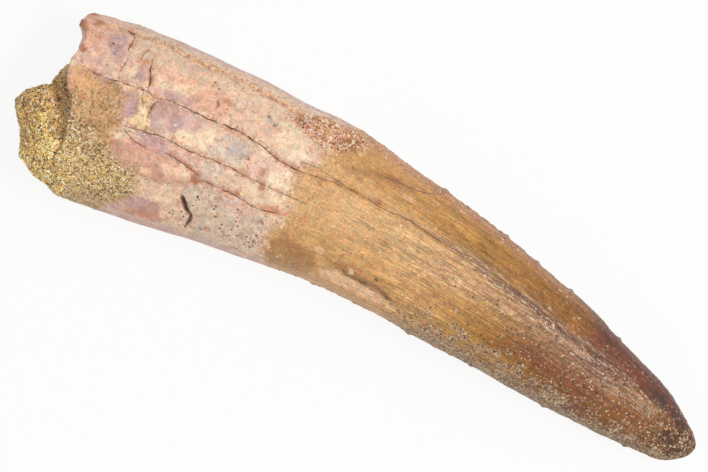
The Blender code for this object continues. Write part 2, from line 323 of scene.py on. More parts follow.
# Marks on the crown's upper face, in the same form: a chip out of the enamel first
CROWN_PATCHES = [
    ("peach", 0.12, -0.18, [(-4.2, -5.0), (-2.6, -4.2), (-0.5, -4.3), (2.8, -4.3), (5.9, -4.6), (6.3, -5.3),
        (2.9, -5.5), (-0.2, -5.8), (-3.6, -6.2)]),
    ("cream", 0.6, 0, [(-4.0, -5.2), (-2.4, -4.5), (0.0, -4.6), (3.0, -4.7), (3.0, -5.3), (-0.4, -5.5)]),
    ("walnut", 0.7, 0, [(-11.5, -4.6), (-8.5, -3.4), (-5.2, -3.6), (-4.6, -5.2), (-5.0, -6.6),
        (-10.4, -7.6)]),
    ("walnut", 0.5, 0, [(-4.0, -3.4), (0.0, -3.0), (4.0, -3.2), (7.0, -4.0), (6.0, -4.6), (2.0, -4.2),
        (-2.6, -4.1)]),
    ("dusk", 0.15, -0.05, [(-2.5, -3.9), (0.5, -3.7), (2.8, -3.6), (5.6, -4.1), (5.9, -4.4), (2.6, -4.0),
        (-0.6, -4.1)]),
    ("walnut", 0.5, 0, [(-7.9, 7.1), (-4.6, 7.9), (-1.6, 8.8), (1.2, 8.9), (1.6, 8.2), (-2.6, 7.6),
        (-6.8, 6.6)]),
    ("sienna", 0.6, 0, [(26.0, 4.4), (30.5, 3.6), (35.0, 1.8), (37.5, 0.0), (32.1, 1.1), (28.0, 2.3)]),
    ("sienna", 0.35, -0.03, [(17.8, -1.6), (21.0, -1.6), (24.6, -1.9), (26.2, -2.6), (24.0, -3.2),
        (20.4, -2.7)]),
    ("amber", 0.5, 0, [(23.8, -2.3), (27.5, -1.3), (31.1, -1.8), (31.6, -3.1), (29.4, -3.9), (26.3, -3.7)]),
    ("amber", 0.5, 0, [(32.1, -1.9), (34.9, -1.7), (38.4, -2.6), (37.6, -3.8), (33.9, -3.4)]),
    ("coal", 0.25, 0, [(36.4, 0.1), (36.8, 1.0), (38.5, 1.4), (38.9, 0.1), (37.5, -0.7)]),
    ("night", 0.3, 0, [(39.4, 0.4), (40.6, 0.6), (42.6, -0.6), (42.7, -1.6), (41.0, -1.4)]),
    ("coal", 0.25, 0, [(39.3, -3.5), (40.2, -2.2), (41.9, -2.3), (42.0, -3.6), (40.4, -4.2)]),
    ("night", 0.3, 0, [(41.0, -4.4), (42.0, -3.5), (43.2, -3.4), (43.0, -4.5), (41.7, -5.0)]),
]
# Small round marks of the upper face: the tone, and the place and radii in mm
SPOTS = [
    ("rust", -40.1, 8.3, 0.5, 0.4), ("mauve", -37.2, 7.0, 0.5, 0.4), ("cream", -33.3, 5.1, 0.45, 0.8),
    ("coral", -22.1, 7.1, 0.6, 0.4), ("straw", -17.3, 3.7, 0.2, 0.45), ("peach", -26.9, -4.2, 0.7, 0.5),
    ("straw", -30.9, 0.2, 0.6, 0.4), ("dusk", -22.9, 6.3, 0.22, 0.6), ("slate", -16.6, 7.7, 0.7, 0.22),
    # The cream mark at (-9.9, 8.3) on the next line is a painted glint: a painted highlight on the crumbly
    # ground
    ("coal", -17.2, 7.9, 0.25, 0.18), ("coal", -16.2, 7.4, 0.22, 0.2), ("cream", -9.9, 8.3, 0.6, 0.4),
    ("rust", -1.5, 8.5, 0.8, 0.35), ("rust", -1.9, 5.4, 0.5, 0.3), ("coral", -8.2, -0.9, 0.6, 0.5),
    ("plum", -15.0, 1.8, 0.5, 0.6), ("rust", -14.2, 0.4, 0.4, 0.5), ("rust", -16.0, -1.5, 0.5, 0.35),
    ("rust", -40.8, 7.1, 0.7, 0.7), ("bark", -41.1, 7.2, 0.4, 0.5), ("rust", -40.2, 4.6, 0.4, 0.55),
    ("bone", 1.0, 7.3, 0.8, 0.3), ("coal", 2.4, -3.1, 0.3, 0.22), ("coral", 0.3, -3.2, 0.5, 0.3),
    ("cream", -0.7, -3.4, 0.35, 0.25), ("coal", 6.6, 1.7, 0.14, 0.14), ("coal", 36.5, -1.1, 0.3, 0.3),
    ("cream", 36.7, -1.2, 0.1, 0.1), ("coral", -17.6, -7.2, 0.5, 0.3), ("straw", -15.5, -1.4, 0.4, 0.2),
    ("cream", -26.2, 4.3, 0.4, 0.15), ("slate", -36.6, 5.8, 0.2, 0.2), ("cream", -34.4, -7.4, 0.7, 0.5),
    ("walnut", -1.7, 2.0, 0.9, 0.3), ("walnut", -4.7, 6.6, 0.8, 0.3), ("plum", -1.9, -1.6, 0.4, 0.3),
    ("walnut", 1.3, 1.2, 0.9, 0.25), ("walnut", -4.4, 2.3, 0.8, 0.2), ("bone", -4.9, -3.0, 0.5, 0.4),
]
# Clusters of black mineral specks on the root: the place and the radius
SPECK_CLUSTERS = [
    (-20.2, -3.7, 0.9), (-17.7, -3.5, 0.8), (-19.7, -5.7, 0.7), (-15.7, -3.6, 0.8), (-17.8, -5.3, 0.9),
    (-15.8, -6.1, 1.0), (-13.2, -6.2, 1.5), (-11.9, -5.2, 1.0), (-12.2, -2.9, 0.8), (-14.4, -4.4, 0.9),
    (-21.1, -7.5, 0.8), (-18.5, -7.2, 0.8), (-21.5, 6.9, 0.5), (-24.1, 8.4, 0.4), (-20.6, 8.6, 0.4),
    (-14.3, 7.8, 0.5), (-17.5, 1.9, 0.7), (-36.6, 6.4, 0.7),
]
# Cracks of the upper face: half the width of the gap, its depth, and its path
CRACKS = [
    (0.06, 0.28, [(-38.8, 3.0), (-36.6, 2.8), (-34.4, 3.3), (-31.2, 3.8), (-29.8, 3.6), (-27.8, 4.2),
        (-22.8, 4.4), (-19.8, 4.8), (-17.0, 4.6), (-13.7, 4.0), (-11.1, 4.0), (-7.3, 4.7), (-4.4, 5.0),
        (-0.5, 4.8)]),
    (0.045, 0.15, [(-1.5, 4.8), (3.1, 5.0), (6.6, 4.6), (10.9, 4.4), (13.1, 4.2), (16.9, 3.8), (20.2, 3.1),
        (23.6, 2.2), (26.5, 1.9), (30.0, 1.5)]),
    (0.045, 0.12, [(-11.8, 5.1), (-9.4, 5.3), (-7.3, 5.1), (-3.9, 4.9)]),
    (0.045, 0.18, [(-31.6, -1.0), (-29.7, -0.6), (-26.6, 0.1), (-23.8, 0.0), (-18.5, 0.6), (-13.7, 0.6),
        (-8.7, 1.0)]),
    (0.045, 0.16, [(-25.9, -1.4), (-22.9, -1.6), (-20.3, -2.2), (-16.3, -2.0), (-14.0, -2.2), (-10.9, -1.5)]),
    (0.06, 0.1, [(-2.9, 8.2), (-1.3, 8.5), (1.2, 8.6), (3.9, 9.4)]),
    (0.09, 0.3, [(-35.3, 8.7), (-35.2, 7.8), (-35.0, 6.9)]),
    (0.08, 0.28, [(-34.8, 6.2), (-34.9, 4.2)]),
    (0.06, 0.18, [(-33.1, 8.3), (-33.3, 7.4), (-33.2, 6.7)]),
    (0.09, 0.3, [(-32.2, 7.5), (-31.8, 6.4), (-31.3, 5.4), (-30.9, 4.1)]),
    (0.1, 0.3, [(-29.4, 3.4), (-29.6, 2.2), (-29.4, 1.0)]),
    (0.05, 0.16, [(-31.2, 3.6), (-30.9, 2.8), (-30.6, 2.0)]),
    (0.06, 0.25, [(-21.8, -4.6), (-21.7, -5.1)]),
    (0.22, 0.45, [(-21.9, -4.8), (-21.5, -5.2), (-20.9, -5.9), (-19.7, -6.7)]),
    (0.16, 0.35, [(-20.1, -6.3), (-19.7, -7.2), (-19.9, -8.2)]),
    (0.08, 0.2, [(-37.1, 9.1), (-36.2, 9.2), (-35.3, 8.6)]),
    (0.05, 0.12, [(-7.9, 10.8), (-6.1, 10.4)]),
    (0.05, 0.1, [(-31.4, -1.2), (-29.8, -1.9), (-27.9, -2.0)]),
    (0.05, 0.12, [(-24.5, 8.6), (-24.2, 8.2)]),
]
# The groove that runs along the root below its upper edge, full of orange crumbs
GROOVE = [(-39.6, 8.3), (-36.0, 9.2), (-32.4, 9.7), (-28.5, 9.7), (-22.4, 10.2), (-15.5, 10.2), (-10.0, 10.1)]
# The dark band along the longest crack on the crown, and below it the line along the crown's ridge where a
# rosy highlight is painted
DARK_BAND = [(0, 4.9), (3.1, 5.0), (6.6, 4.6), (10.9, 4.3), (13.1, 3.9), (16.9, 3.5), (20.2, 2.9),
             (23.6, 2.0), (26.5, 1.8), (30.0, 1.6), (34.3, 0.6)]
CREST_HIGHLIGHT = [(2, 0.8), (7.1, 1.3), (14, 2.0), (20.3, 1.5), (26.7, 0.5), (31.8, -0.7), (37.5, -1.2)]
# Knobs along the crown's upper and lower cutting edges, as x
UPPER_KNOBS = [4.6, 13.3, 17.9, 22.9, 30.5]
LOWER_KNOBS = [8.5, 16.7, 26.4, 36.9]
# The sandy film at the root's broken end, and the thick sand on its lower part, as outlines on the upper face
SAND_FILM = [(-44, 2.2), (-38.5, 2.7), (-36.5, 2.5), (-34.2, 2.9), (-33.0, 2.2), (-32.2, 0.2), (-31.6, -1.0),
             (-31.8, -3.4), (-30.8, -5.0), (-27.0, -5.8), (-26.4, -7.6), (-28.6, -9.4), (-33, -14),
             (-44, -14)]
THICK_SAND = [(-44, -1.2), (-39.6, -1.2), (-38.2, -2.6), (-36.9, -3.6), (-33.5, -4.3), (-30.8, -4.6),
              (-28.4, -5.2), (-26.4, -6.2), (-27.2, -7.6), (-29.6, -9.0), (-32.0, -10.4), (-35, -14),
              (-44, -14)]
# How far the real outline lies inside the model's, as (x, mm) along its two edges and (y, mm) along its
# broken end
UPPER_TRIM = [(-45, 0.2), (-30, 0.22), (-24, 0.35), (-20, 0.2), (-14, 0.45), (-10, 0.15), (-5, 0.12),
              (-1, 0.45), (6, 0.4), (12, 0.3), (20, 0.35), (27, 0.2), (31, 0.5), (34, 0.42), (39, 0),
              (42, 0.2), (45, 0)]
LOWER_TRIM = [(-45, 0.2), (-30, 0.15), (-20, 0.28), (-10, 0.35), (-6, 0.48), (0, 0.35), (5, 0.12),
              (10, -0.25), (18, -0.2), (22, -0.4), (28, -0.17), (36, 0.2), (39, 0.37), (43, 0), (45, 0.1)]
END_TRIM = [(-12, 0.0), (-8, 0.1), (-5, 0.7), (-3.5, 1.1), (-1, 1.1), (0.3, 0.6), (2.5, 0.5), (4.5, 0.75),
            (6.2, 0.5), (7.3, -0.2), (8.2, 0.35), (9.2, 0.95), (10.5, 1.0)]
# Knobs on the rim of the broken end, as (x, y, z), how far they stand out and their radius
END_KNOBS = [(-41.4, 7.1, 13.1, 0.6, 0.65), (-40.6, 4.7, 15.0, 0.35, 0.45), (-41.2, 8.6, 11.0, 0.3, 0.6)]
# The unseen underside has cracks and stains of its own
UNDER_CRACKS = [
    (0.07, 0.25, [(-37.0, -2.0), (-30.0, -1.2), (-22.0, -1.8), (-12.0, -0.6), (-2.0, 0.4), (9.0, 0.2)]),
    (0.05, 0.2, [(-35.0, 4.2), (-28.0, 4.8), (-20.0, 5.4), (-11.0, 5.0)]),
    (0.09, 0.3, [(-29.5, 6.6), (-29.0, 4.6), (-29.3, 2.9)]),
    (0.08, 0.3, [(-24.4, -6.4), (-23.9, -4.3), (-24.6, -2.0)]),
]

tip_vertex = max(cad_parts["tooth"].data.vertices, key=lambda vertex: vertex.co.x).co
OUTLINE_TO_FRAME = np.array(tip_vertex) / MM - TIP

angle = np.concatenate([np.linspace(0, np.pi, AROUND_UPPER, endpoint=False),
                        np.linspace(np.pi, 2 * np.pi, AROUND_LOWER, endpoint=False)])
rings = tooth_rings(angle) + OUTLINE_TO_FRAME
rings[..., 2] = np.maximum(rings[..., 2], 0)
facing = outward(rings)
x, y, z = np.moveaxis(rings, -1, 0)
row = np.arange(len(rings))[:, None]
on_skin = (row < SKIN_RINGS).astype(float)

# Where each point is: on the upper face or not, across the width from -1 to 1, and on lines along the bend
LINE_RADIUS = 7
upper = soft_step(np.sin(angle)[None, :] + 0.12 * relief(rings, 2.5), -0.12, 0.12)
upper_edge = outline(x - OUTLINE_TO_FRAME[0], UPPER_EDGE) + OUTLINE_TO_FRAME[1]
lower_edge = outline(x - OUTLINE_TO_FRAME[0], LOWER_EDGE) + OUTLINE_TO_FRAME[1]
across = (2 * y - upper_edge - lower_edge) / np.maximum(upper_edge - lower_edge, 1)
lines = np.stack([x, LINE_RADIUS * np.cos(angle) + 0 * x, LINE_RADIUS * np.sin(angle) + 0 * x], axis=-1)
wobble_x = x + 0.4 * relief(rings, 1.8, 3.1, 2) + 0.22 * relief(rings, 0.45, 13.1, 2)
wobble_y = y + 0.35 * relief(rings, (2.4, 1.2, 1.6), 7.7, 2) + 0.2 * relief(rings, 0.45, 17.7, 2)

border = wobble_x - smooth(wobble_y, CROWN_BORDER) + (1 - upper) * 4 * relief(rings, 6, 23.7, 3)
crown = soft_step(border + 0.9 * relief(rings, 1.1, 37.7, 3), -1.0, 1.0) * on_skin
root = 1 - crown
on_root_face = upper * root
streaks = relief(lines, (6, 0.55, 0.55), 1.7, 3)
fine_streaks = relief(lines, (3, 0.3, 0.3), 4.2, 2)
crumbs = relief(rings, 0.7, 9.4, 2)
fine = relief(rings, 0.4, 19.4, 2)
cloudy = relief(rings, 1.5, 29.4, 3)


def near(distance, reach):
    """1 at no distance, and less on both sides of it by a bell curve of a reach."""
    return np.exp(-((distance / reach) ** 2))


def stretch(value, *ends):
    """1 along a stretch: a soft step up from its first end to its second, and one down over the other two."""
    return soft_step(value, *ends[:2]) * (1 - soft_step(value, *ends[2:]))


def lay(paint, *stains):
    """Lays stains over the paint in turn. Each is where it lies, its tone, its strength and what breaks it.

    What breaks it is a noise and the two values between which it comes in, or nothing. A stain's share of
    the paint is where it lies times its strength, times the soft step of its noise.
    """
    for where, tone, strength, *noise in stains:
        share = where * strength * (soft_step(*noise) if noise else 1)
        paint = paint + (np.array(TONES[tone]) - paint) * share[..., None]
    return paint


def patch_share(soft, path):
    """How strongly a patch shows: by a soft step over its edge, less where its own clouds thin it."""
    clouds = np.clip(0.92 + 0.6 * cloudy, 0.55, 1)
    return soft_step(depth_inside(path, wobble_x, wobble_y), -soft, soft) * clouds


# The root's ground: bone, with lengthwise drifts of blush, lilac and cream
drift = relief(rings, (5, 2.2, 3), 2.9, 3)
paint = lay(np.zeros(rings.shape) + TONES["bone"], (1, "blush", 0.7, drift, -0.1, 0.4),
            (1, "lilac", 0.5, relief(rings, (4, 1.6, 2.5), 8.3, 3), 0.1, 0.5),
            (1, "cream", 0.5, relief(rings, (4, 2, 2.5), 5.1, 3), 0.12, 0.5))
bump = 0.1 * relief(rings, 6, 0.4, 2) + root * (0.05 * relief(rings, 1.4, 6.6, 3) + 0.025 * fine)

# The beige panel below the groove, the pale strip above it, whose pale tone is partly painted reflection, and
# a faint mottle over the whole root
groove, along_groove, groove_length = distance_to(GROOVE, wobble_x, y)
strip = on_root_face * soft_step(groove, 0.1, 0.4)
panel = on_root_face * soft_step(y, 4.5, 5.5)
paint = lay(paint, (panel, "bone", 0.85), (panel, "blush", 0.35, streaks, 0, 0.4),
            (strip * (0.75 + 0.25 * streaks), "pearl", 1),
            (strip, "peach", 0.5, streaks + 0.5 * fine_streaks, 0.05, 0.35),
            (strip, "ivory", 0.5, 0.5 * fine - streaks, 0.1, 0.4),
            # Lilac at the strip's outer edge here, and at the root's lower edge near the enamel two lines
            # below, is painted reflection of the white room at the grazing edges
            (strip, "lilac", 0.5, across + 0.03 * streaks, 0.93, 0.98),
            (strip, "peach", 0.8, cloudy - x, 36.5, 38.5),
            (on_root_face * soft_step(x, -33, -29), "lilac", 0.6, -across, 0.86, 0.95))
for tone, shift in (("salmon", 51.3), ("cream", 57.9), ("mauve", 63.1), ("ash", 71.7)):
    paint = lay(paint, (root, tone, 0.22, relief(rings, (1.8, 0.9, 1.2), shift, 3), 0.12, 0.42))
bump += strip * 0.1

for tone, soft, rise, path in ROOT_PATCHES:
    share = on_root_face * patch_share(soft, path)
    paint = lay(paint, (share, tone, 0.92))
    bump += rise * share

in_groove = on_root_face * near(groove, 0.3) * soft_step(groove_length - along_groove, 0, 1)
paint = lay(paint, (in_groove, "peach", 0.7), (in_groove, "orange", 0.6, crumbs, -0.1, 0.2),
            (in_groove, "straw", 0.7, fine, 0.05, 0.3), (in_groove, "rust", 0.8, -crumbs - fine, 0.25, 0.5))
bump -= in_groove * (0.1 - 0.35 * crumbs)

# The crown's ground darkens towards the tip, more slowly along its lower side
along_crown = x + 2.5 * relief(lines, (12, 2.5, 2.5), 3.3, 2)
above_band = soft_step(distance_to(DARK_BAND, x, y)[0] + 0.6 * streaks, -0.6, 0.6)
crown_paint = 0
for side_tones, share in ((UPPER_SIDE, above_band), (LOWER_SIDE, 1 - above_band)):
    tone_x = [place for place, _ in side_tones]
    tone_table = np.array([TONES[tone] for _, tone in side_tones])
    ground = np.stack([np.interp(along_crown, tone_x, channel) for channel in tone_table.T], axis=-1)
    crown_paint = crown_paint + ground * share[..., None]
# The rosy band laid along the ridge below the dark band is a painted highlight, standing for the soft box's
# reflection
crest_highlight = near(distance_to(CREST_HIGHLIGHT, x, y)[0], 1.1) * stretch(x, 4, 14, 37, 41) * upper
sandy_side = upper * soft_step(x, 2, 14) * soft_step(0.3 * (crumbs + streaks + cloudy) - across, 0.55, 1.05)
rim = near(upper_edge - y - 0.5, 0.45) * upper * (1 - soft_step(x, 20, 28))
full_enamel = soft_step(x, 8, 20)
crown_paint = lay(crown_paint, (1 - upper, "chestnut", 0.4, x, 0, 20),
                  (crest_highlight, "rosy_highlight", 0.6, streaks + 0.5 * fine_streaks, -0.3, 0.4), (sandy_side, "dove", 0.8),
                  (rim, "film", 0.5), (rim, "rust", 0.7, crumbs + streaks, -0.2, 0.3),
                  (1, "dusk", 0.5, x + 1.5 * crumbs, 40, 44),
                  (1 - full_enamel, "walnut", 0.5, cloudy, 0.15, 0.5),
                  (full_enamel, "sienna", 0.45, streaks, 0.15, 0.5))
drawn_out = 0.3 + 0.7 * soft_step(x, -6, 8)
crown_paint = crown_paint * (1 + drawn_out * (0.3 * streaks + 0.25 * fine_streaks) + 0.15 * cloudy)[..., None]
blackened = 0 * x
for tone, soft, rise, path in CROWN_PATCHES:
    share = upper * crown * patch_share(soft, path)
    crown_paint = lay(crown_paint, (share, tone, 0.85))
    bump += rise * share
    if tone in ("coal", "night"):
        blackened = np.maximum(blackened, share)
paint = paint + (crown_paint - paint) * crown[..., None]

for tone, spot_x, spot_y, radius_x, radius_y in SPOTS:
    away = np.hypot((wobble_x - spot_x) / radius_x, (wobble_y - spot_y) / radius_y)
    paint = lay(paint, (upper, tone, 0.85, -away, -1.3, -0.6))

# The enamel's fine lengthwise ridges, and the cutting edges with their knobs
bump += crown * drawn_out * (0.035 * streaks + 0.03 * fine_streaks)
edge_line = near(np.sin(angle), 0.07)[None, :] * crown
rough_edge = np.maximum(relief(rings, 0.5, 47.1, 2), 0) * (1 - soft_step(x, 12, 26))
bump += edge_line * (0.08 + 0.08 * crumbs + 0.22 * rough_edge)
paint = lay(paint, (edge_line, "smoke", 0.7, x, 4, 12), (edge_line, "rust", 0.6, -x, -12, -4))
for knobs, edge_y in ((UPPER_KNOBS, upper_edge), (LOWER_KNOBS, lower_edge)):
    for knob_x in knobs:
        knob = near(x - knob_x, 0.3) * near(y - edge_y, 0.6)
        bump += 0.2 * knob
        paint = lay(paint, (knob, "smoke", 0.8))

# The crumbly ground near the enamel's border on the upper edge, which is the last of the root's patches
crumbly = upper * soft_step(depth_inside(ROOT_PATCHES[-1][3], wobble_x, wobble_y), -0.6, 0.5)
bump += crumbly * 0.35 * relief(rings, 0.9, 4.4, 3)
clods = relief(rings, (1.5, 0.8, 0.9), 14.4, 3)
paint = lay(paint, (crumbly, "orange", 0.7, relief(rings, 1.4, 34.4, 2), -0.1, 0.2),
            (crumbly, "bark", 0.85, clods, 0.08, 0.25), (crumbly, "blood", 0.8, clods, 0.28, 0.4),
            (crumbly, "ivory", 0.8, relief(rings, (1.1, 0.7, 0.7), 24.4, 3), 0.15, 0.3))

# The dark band along the longest crack has streaks in it
band = distance_to(DARK_BAND, x, y + 0.15 * cloudy)[0]
band_width = 0.28 + 0.3 * stretch(x, 4, 12, 20, 30)
band_share = upper * near(band, band_width) * stretch(x, -2, 7, 29, 35)
paint = lay(paint, (band_share, "dusk", 0.85, streaks + fine_streaks, -0.5, 0.1))

# Cracks: dark gaps with stained sides, carved into the surface. Those under a hairline's half width break up.
HAIRLINE = 0.1
CRACK_CARVE, CRACK_STAIN, CRACK_ENDS = 0.24, 0.4, 1.2
CRACK_FAR = 40
crack = np.full(x.shape, float(CRACK_FAR))
near_crack, gaping = 0 * x, 0 * x
crack_x, crack_y = x + 0.12 * relief(rings, 0.8, 2.2, 2), y + 0.14 * crumbs
hairline_breaks = np.clip(0.7 + 1.1 * relief(rings, 1.3, 6.1, 2), 0.05, 1.6)
for face, cracks in ((upper, CRACKS), (1 - upper, UNDER_CRACKS)):
    for half_width, depth, path in cracks:
        away, along, length = distance_to(path, crack_x, crack_y)
        taper = np.sqrt(np.clip(np.minimum(along, length - along) / CRACK_ENDS, 0, 1))
        broken_up = hairline_breaks if half_width < HAIRLINE else 1
        gap = np.clip(away / (half_width * taper * broken_up + 0.004), -CRACK_FAR, CRACK_FAR)
        gap = np.where(face > 0.5, gap, CRACK_FAR)
        crack = np.where(np.abs(gap) < np.abs(crack), gap, crack)
        bump -= face * depth * taper * broken_up * near(away, CRACK_CARVE)
        near_crack = np.maximum(near_crack, face * taper * near(away, CRACK_STAIN))
        if half_width > HAIRLINE:
            gaping = np.maximum(gaping, face * taper * np.exp(-((away / half_width) ** 4)))
root_crack = near_crack * root
paint = lay(paint, (root_crack, "rust", 0.6, crumbs + fine, -0.1, 0.5),
            (root_crack, "coral", 0.6, cloudy + fine, 0, 0.4), (gaping, "pit", 1))

# The sandy film over the root's broken end, thick with sand on its lower part
film_depth = depth_inside(SAND_FILM, wobble_x, wobble_y) + 0.6 * cloudy
thick_depth = depth_inside(THICK_SAND, wobble_x, wobble_y) + 1.5 * cloudy
film_under = 1 - soft_step(x + 3 * relief(rings, 3, 9.9, 3), -37, -29)
film = (upper * soft_step(film_depth, -0.5, 0.7) + (1 - upper) * film_under) * root
thick = (upper * soft_step(thick_depth + 0.8 * crumbs, -1.8, 2.6) + (1 - upper) * film_under) * root
thin = film * (1 - thick)
film_corner = film * upper * soft_step(y + 1.2 * cloudy, -0.6, 1.4) * soft_step(1.2 * cloudy - x, 35.6, 37.8)
paint = lay(paint, (film * np.clip(0.85 + 0.4 * cloudy, 0, 1), "film", 1),
            (film, "bark", 0.6, cloudy + 0.5 * fine, 0.05, 0.35),
            (film * near(np.hypot(x + 35.3, y - 0.6), 1.5), "bark", 0.6),
            (film * near(np.hypot(x + 33.4, y + 1.6), 1.3), "orange", 0.7),
            (thin, "orange", 0.6, relief(rings, 1.8, 44.4, 2), 0.1, 0.4),
            (thin, "bark", 0.7, crumbs + fine, 0.3, 0.6), (film_corner, "orange", 0.8),
            (film_corner, "salmon", 0.7, crumbs + cloudy, 0, 0.4), (thick, "straw", 0.7),
            (thick, "moss", 0.7, x + 1.2 * cloudy, -31.5, -29))
bump += film * (0.03 + 0.06 * fine) + thick * (0.1 + 0.18 * relief(rings, 0.7, 18.8, 3))

# The broken end shows crumbly dentine, pale at its rim and darker towards the hollow
on_end = (row >= SKIN_RINGS).astype(float) + 0 * x
end_share = np.clip((row - SKIN_RINGS) / END_RINGS, 0, 1)
rim_line = near(row - SKIN_RINGS, 2.2) * upper * soft_step(-np.abs(y + 1), -3.6, -2.4)
paint = lay(paint, (on_end, "blush", 0.5), (on_end, "ash", 0.6, relief(rings, 1.2, 31.2, 2), 0, 0.4),
            (on_end, "film", 0.8, end_share + 0.4 * crumbs, 0.3, 0.9), (rim_line, "blush", 0.9))
for *knob_middle, stand, radius in END_KNOBS:
    knob = near(np.linalg.norm(rings - knob_middle, axis=-1), radius)
    bump += stand * knob
    paint = lay(paint, (1, "rust", 0.85, knob + 0.2 * fine, 0.2, 0.5))
bump += on_end * (row < SKIN_RINGS + END_RINGS) * 0.35 * relief(rings, 1.1, 21.2, 3)

# Where black specks, reddish crumbs, sand and glints show, as shares that the finish takes up
specks = 0.03 * on_root_face + 0.3 * (1 - upper) * root * soft_step(drift, 0.1, 0.3)
for speck_x, speck_y, radius in SPECK_CLUSTERS:
    cluster = on_root_face * near(np.hypot(wobble_x - speck_x, wobble_y - speck_y), radius)
    specks = np.maximum(specks, 0.8 * cluster)
    paint = lay(paint, (cluster, "smoke", 0.6, fine + crumbs, 0.15, 0.5))
specks = specks * (1 - film)
flecks = root * (0.02 + 0.4 * near_crack + 0.15 * soft_step(cloudy, 0.15, 0.4)) + 0.35 * crumbly
flecks = flecks + 0.5 * in_groove + 0.2 * near(border, 1.2) * on_skin + crown * (0.03 + 0.3 * rim)
stray = crown * np.clip(sandy_side + 0.4 * soft_step(x - 0.5 * y, 38, 45), 0, 1)
sparse = (0.03 + 0.14 * (1 - above_band)) * soft_step(x, 5, 34) + 0.05 * soft_step(x, 33, 38)
clean = (1 - 0.75 * blackened) * (1 - 0.8 * film_corner)
sandy = np.clip((0.55 * film + thick + 0.85 * stray + crown * sparse) * clean, 0, 1)
# The glints' share is where the shader paints bright glint lines, a painted highlight, and dark scores, and
# where it makes the enamel glossier
near_band = upper * near(band, 0.8) * stretch(x, 5, 12, 32, 37)
glint_places = soft_step(relief(lines, (9, 1.2, 1.2), 41.0, 2), -0.4, 0.2)
glints = crown * np.clip(0.05 + 0.9 * crest_highlight * glint_places + near_band, 0, 1)

# The trims that bring the outline in, which leave the two flats on the floor
side = np.cos(angle)[None, :] * np.abs(np.cos(angle))[None, :]
trim_y = np.where(side > 0, -smooth(x, UPPER_TRIM), smooth(x, LOWER_TRIM)) * np.abs(side)
trim_x = smooth(y, END_TRIM) * soft_step(-x, 33, 38.5)
moved = rings + facing * bump[..., None] + np.stack([trim_x, trim_y, 0 * x], axis=-1)
moved[..., 2] = np.maximum(moved[..., 2], 0)

# The tones above are as seen, so the sheen of the white room is taken off them here
SHEEN, CROWN_SHEEN = 0.02, 0.045
ROOT_LIFT, CROWN_LIFT, TIP_LIFT = (1.04, 1.04, 1.02), (1.07, 1.0, 0.86), 0.86
DARKEST, LIGHTEST = 0.008, 0.93
sheen = SHEEN + (CROWN_SHEEN - SHEEN) * crown[..., None]
tip_lift = 1 - (1 - TIP_LIFT) * soft_step(x, 10, 34)[..., None]
lift = np.array(ROOT_LIFT) + (np.array(CROWN_LIFT) - ROOT_LIFT) * crown[..., None]
paint = np.clip((paint - sheen) * lift * tip_lift, DARKEST, LIGHTEST)


def closed_mesh(name, first_pole, grid, last_pole):
    """A closed surface: a pole, rings of points joined in turn by four-sided faces, and a second pole."""
    count, size = grid.shape[:2]
    points = np.concatenate([[first_pole], grid.reshape(-1, 3), [last_pole]])
    here = np.arange(size)
    following = (here + 1) % size
    starts = 1 + size * np.arange(count - 1)[:, None]
    last = 1 + size * (count - 1)
    first_fan = np.stack([0 * here, 1 + following, 1 + here], axis=1)
    corners = (starts + here, starts + following, starts + size + following, starts + size + here)
    bands = np.stack(corners, axis=-1).reshape(-1, 4)
    last_fan = np.stack([last + here, last + following, 0 * here + len(points) - 1], axis=1)
    mesh = bpy.data.meshes.new(name)
    mesh.from_pydata(points * MM, [], first_fan.tolist() + bands.tolist() + last_fan.tolist())
    mesh.shade_smooth()
    return add_piece(name, mesh)


def add_piece(name, mesh):
    """A new object in the scene that shows the mesh, at the origin."""
    piece = bpy.data.objects.new(name, mesh)
    bpy.context.scene.collection.objects.link(piece)
    return piece


def with_poles(grid):
    """A grid's values in the mesh's point order, with each pole taking the mean of the ring beside it."""
    rows = grid.reshape(*grid.shape[:2], -1)
    poles = rows[[0, -1]].mean(axis=1)
    return np.concatenate([poles[:1], rows.reshape(-1, rows.shape[-1]), poles[1:]])


def keep_colour(mesh, name, values):
    """Stores a colour for each point, three or four numbers long."""
    if values.shape[1] == 3:
        values = np.concatenate([values, np.ones((len(values), 1))], axis=1)
    mesh.color_attributes.new(name, "FLOAT_COLOR", "POINT").data.foreach_set("color", values.ravel())


def keep_values(mesh, name, kind, key, values):
    """Stores a number or a direction for each point."""
    mesh.attributes.new(name, kind, "POINT").data.foreach_set(key, with_poles(values[::-1]).ravel())


tooth = closed_mesh("fossil_tooth", (HOLLOW_BOTTOM_X, *HOLLOW_CENTRE) + OUTLINE_TO_FRAME, moved[::-1],
                    TIP + OUTLINE_TO_FRAME)
keep_colour(tooth.data, "paint", with_poles(paint[::-1]))
keep_colour(tooth.data, "finish", with_poles(np.stack([crown, sandy, specks, glints], axis=-1)[::-1]))
keep_values(tooth.data, "crack", "FLOAT", "value", crack)
keep_values(tooth.data, "flecks", "FLOAT", "value", flecks)
keep_values(tooth.data, "lines", "FLOAT_VECTOR", "vector", lines * MM)


def add_node(tree, kind, inputs=(), **settings):
    """A shader node with its settings, and its inputs by name or number, as values or as sockets to link."""
    node = tree.nodes.new(kind)
    for setting, value in settings.items():
        setattr(node, setting, value)
    for key, value in dict(inputs).items():
        if isinstance(value, bpy.types.NodeSocket):
            tree.links.new(value, node.inputs[key])
        else:
            node.inputs[key].default_value = value
    return node


def carried(tree, name, kind="Color"):
    """What the mesh carries at each point under a name: a "Color", a number as "Fac" or a "Vector"."""
    return add_node(tree, "ShaderNodeAttribute", attribute_name=name).outputs[kind]


def reckon(tree, how, first, second=0.0):
    """One sum of two numbers, or of two sockets."""
    return add_node(tree, "ShaderNodeMath", {0: first, 1: second}, operation=how).outputs[0]


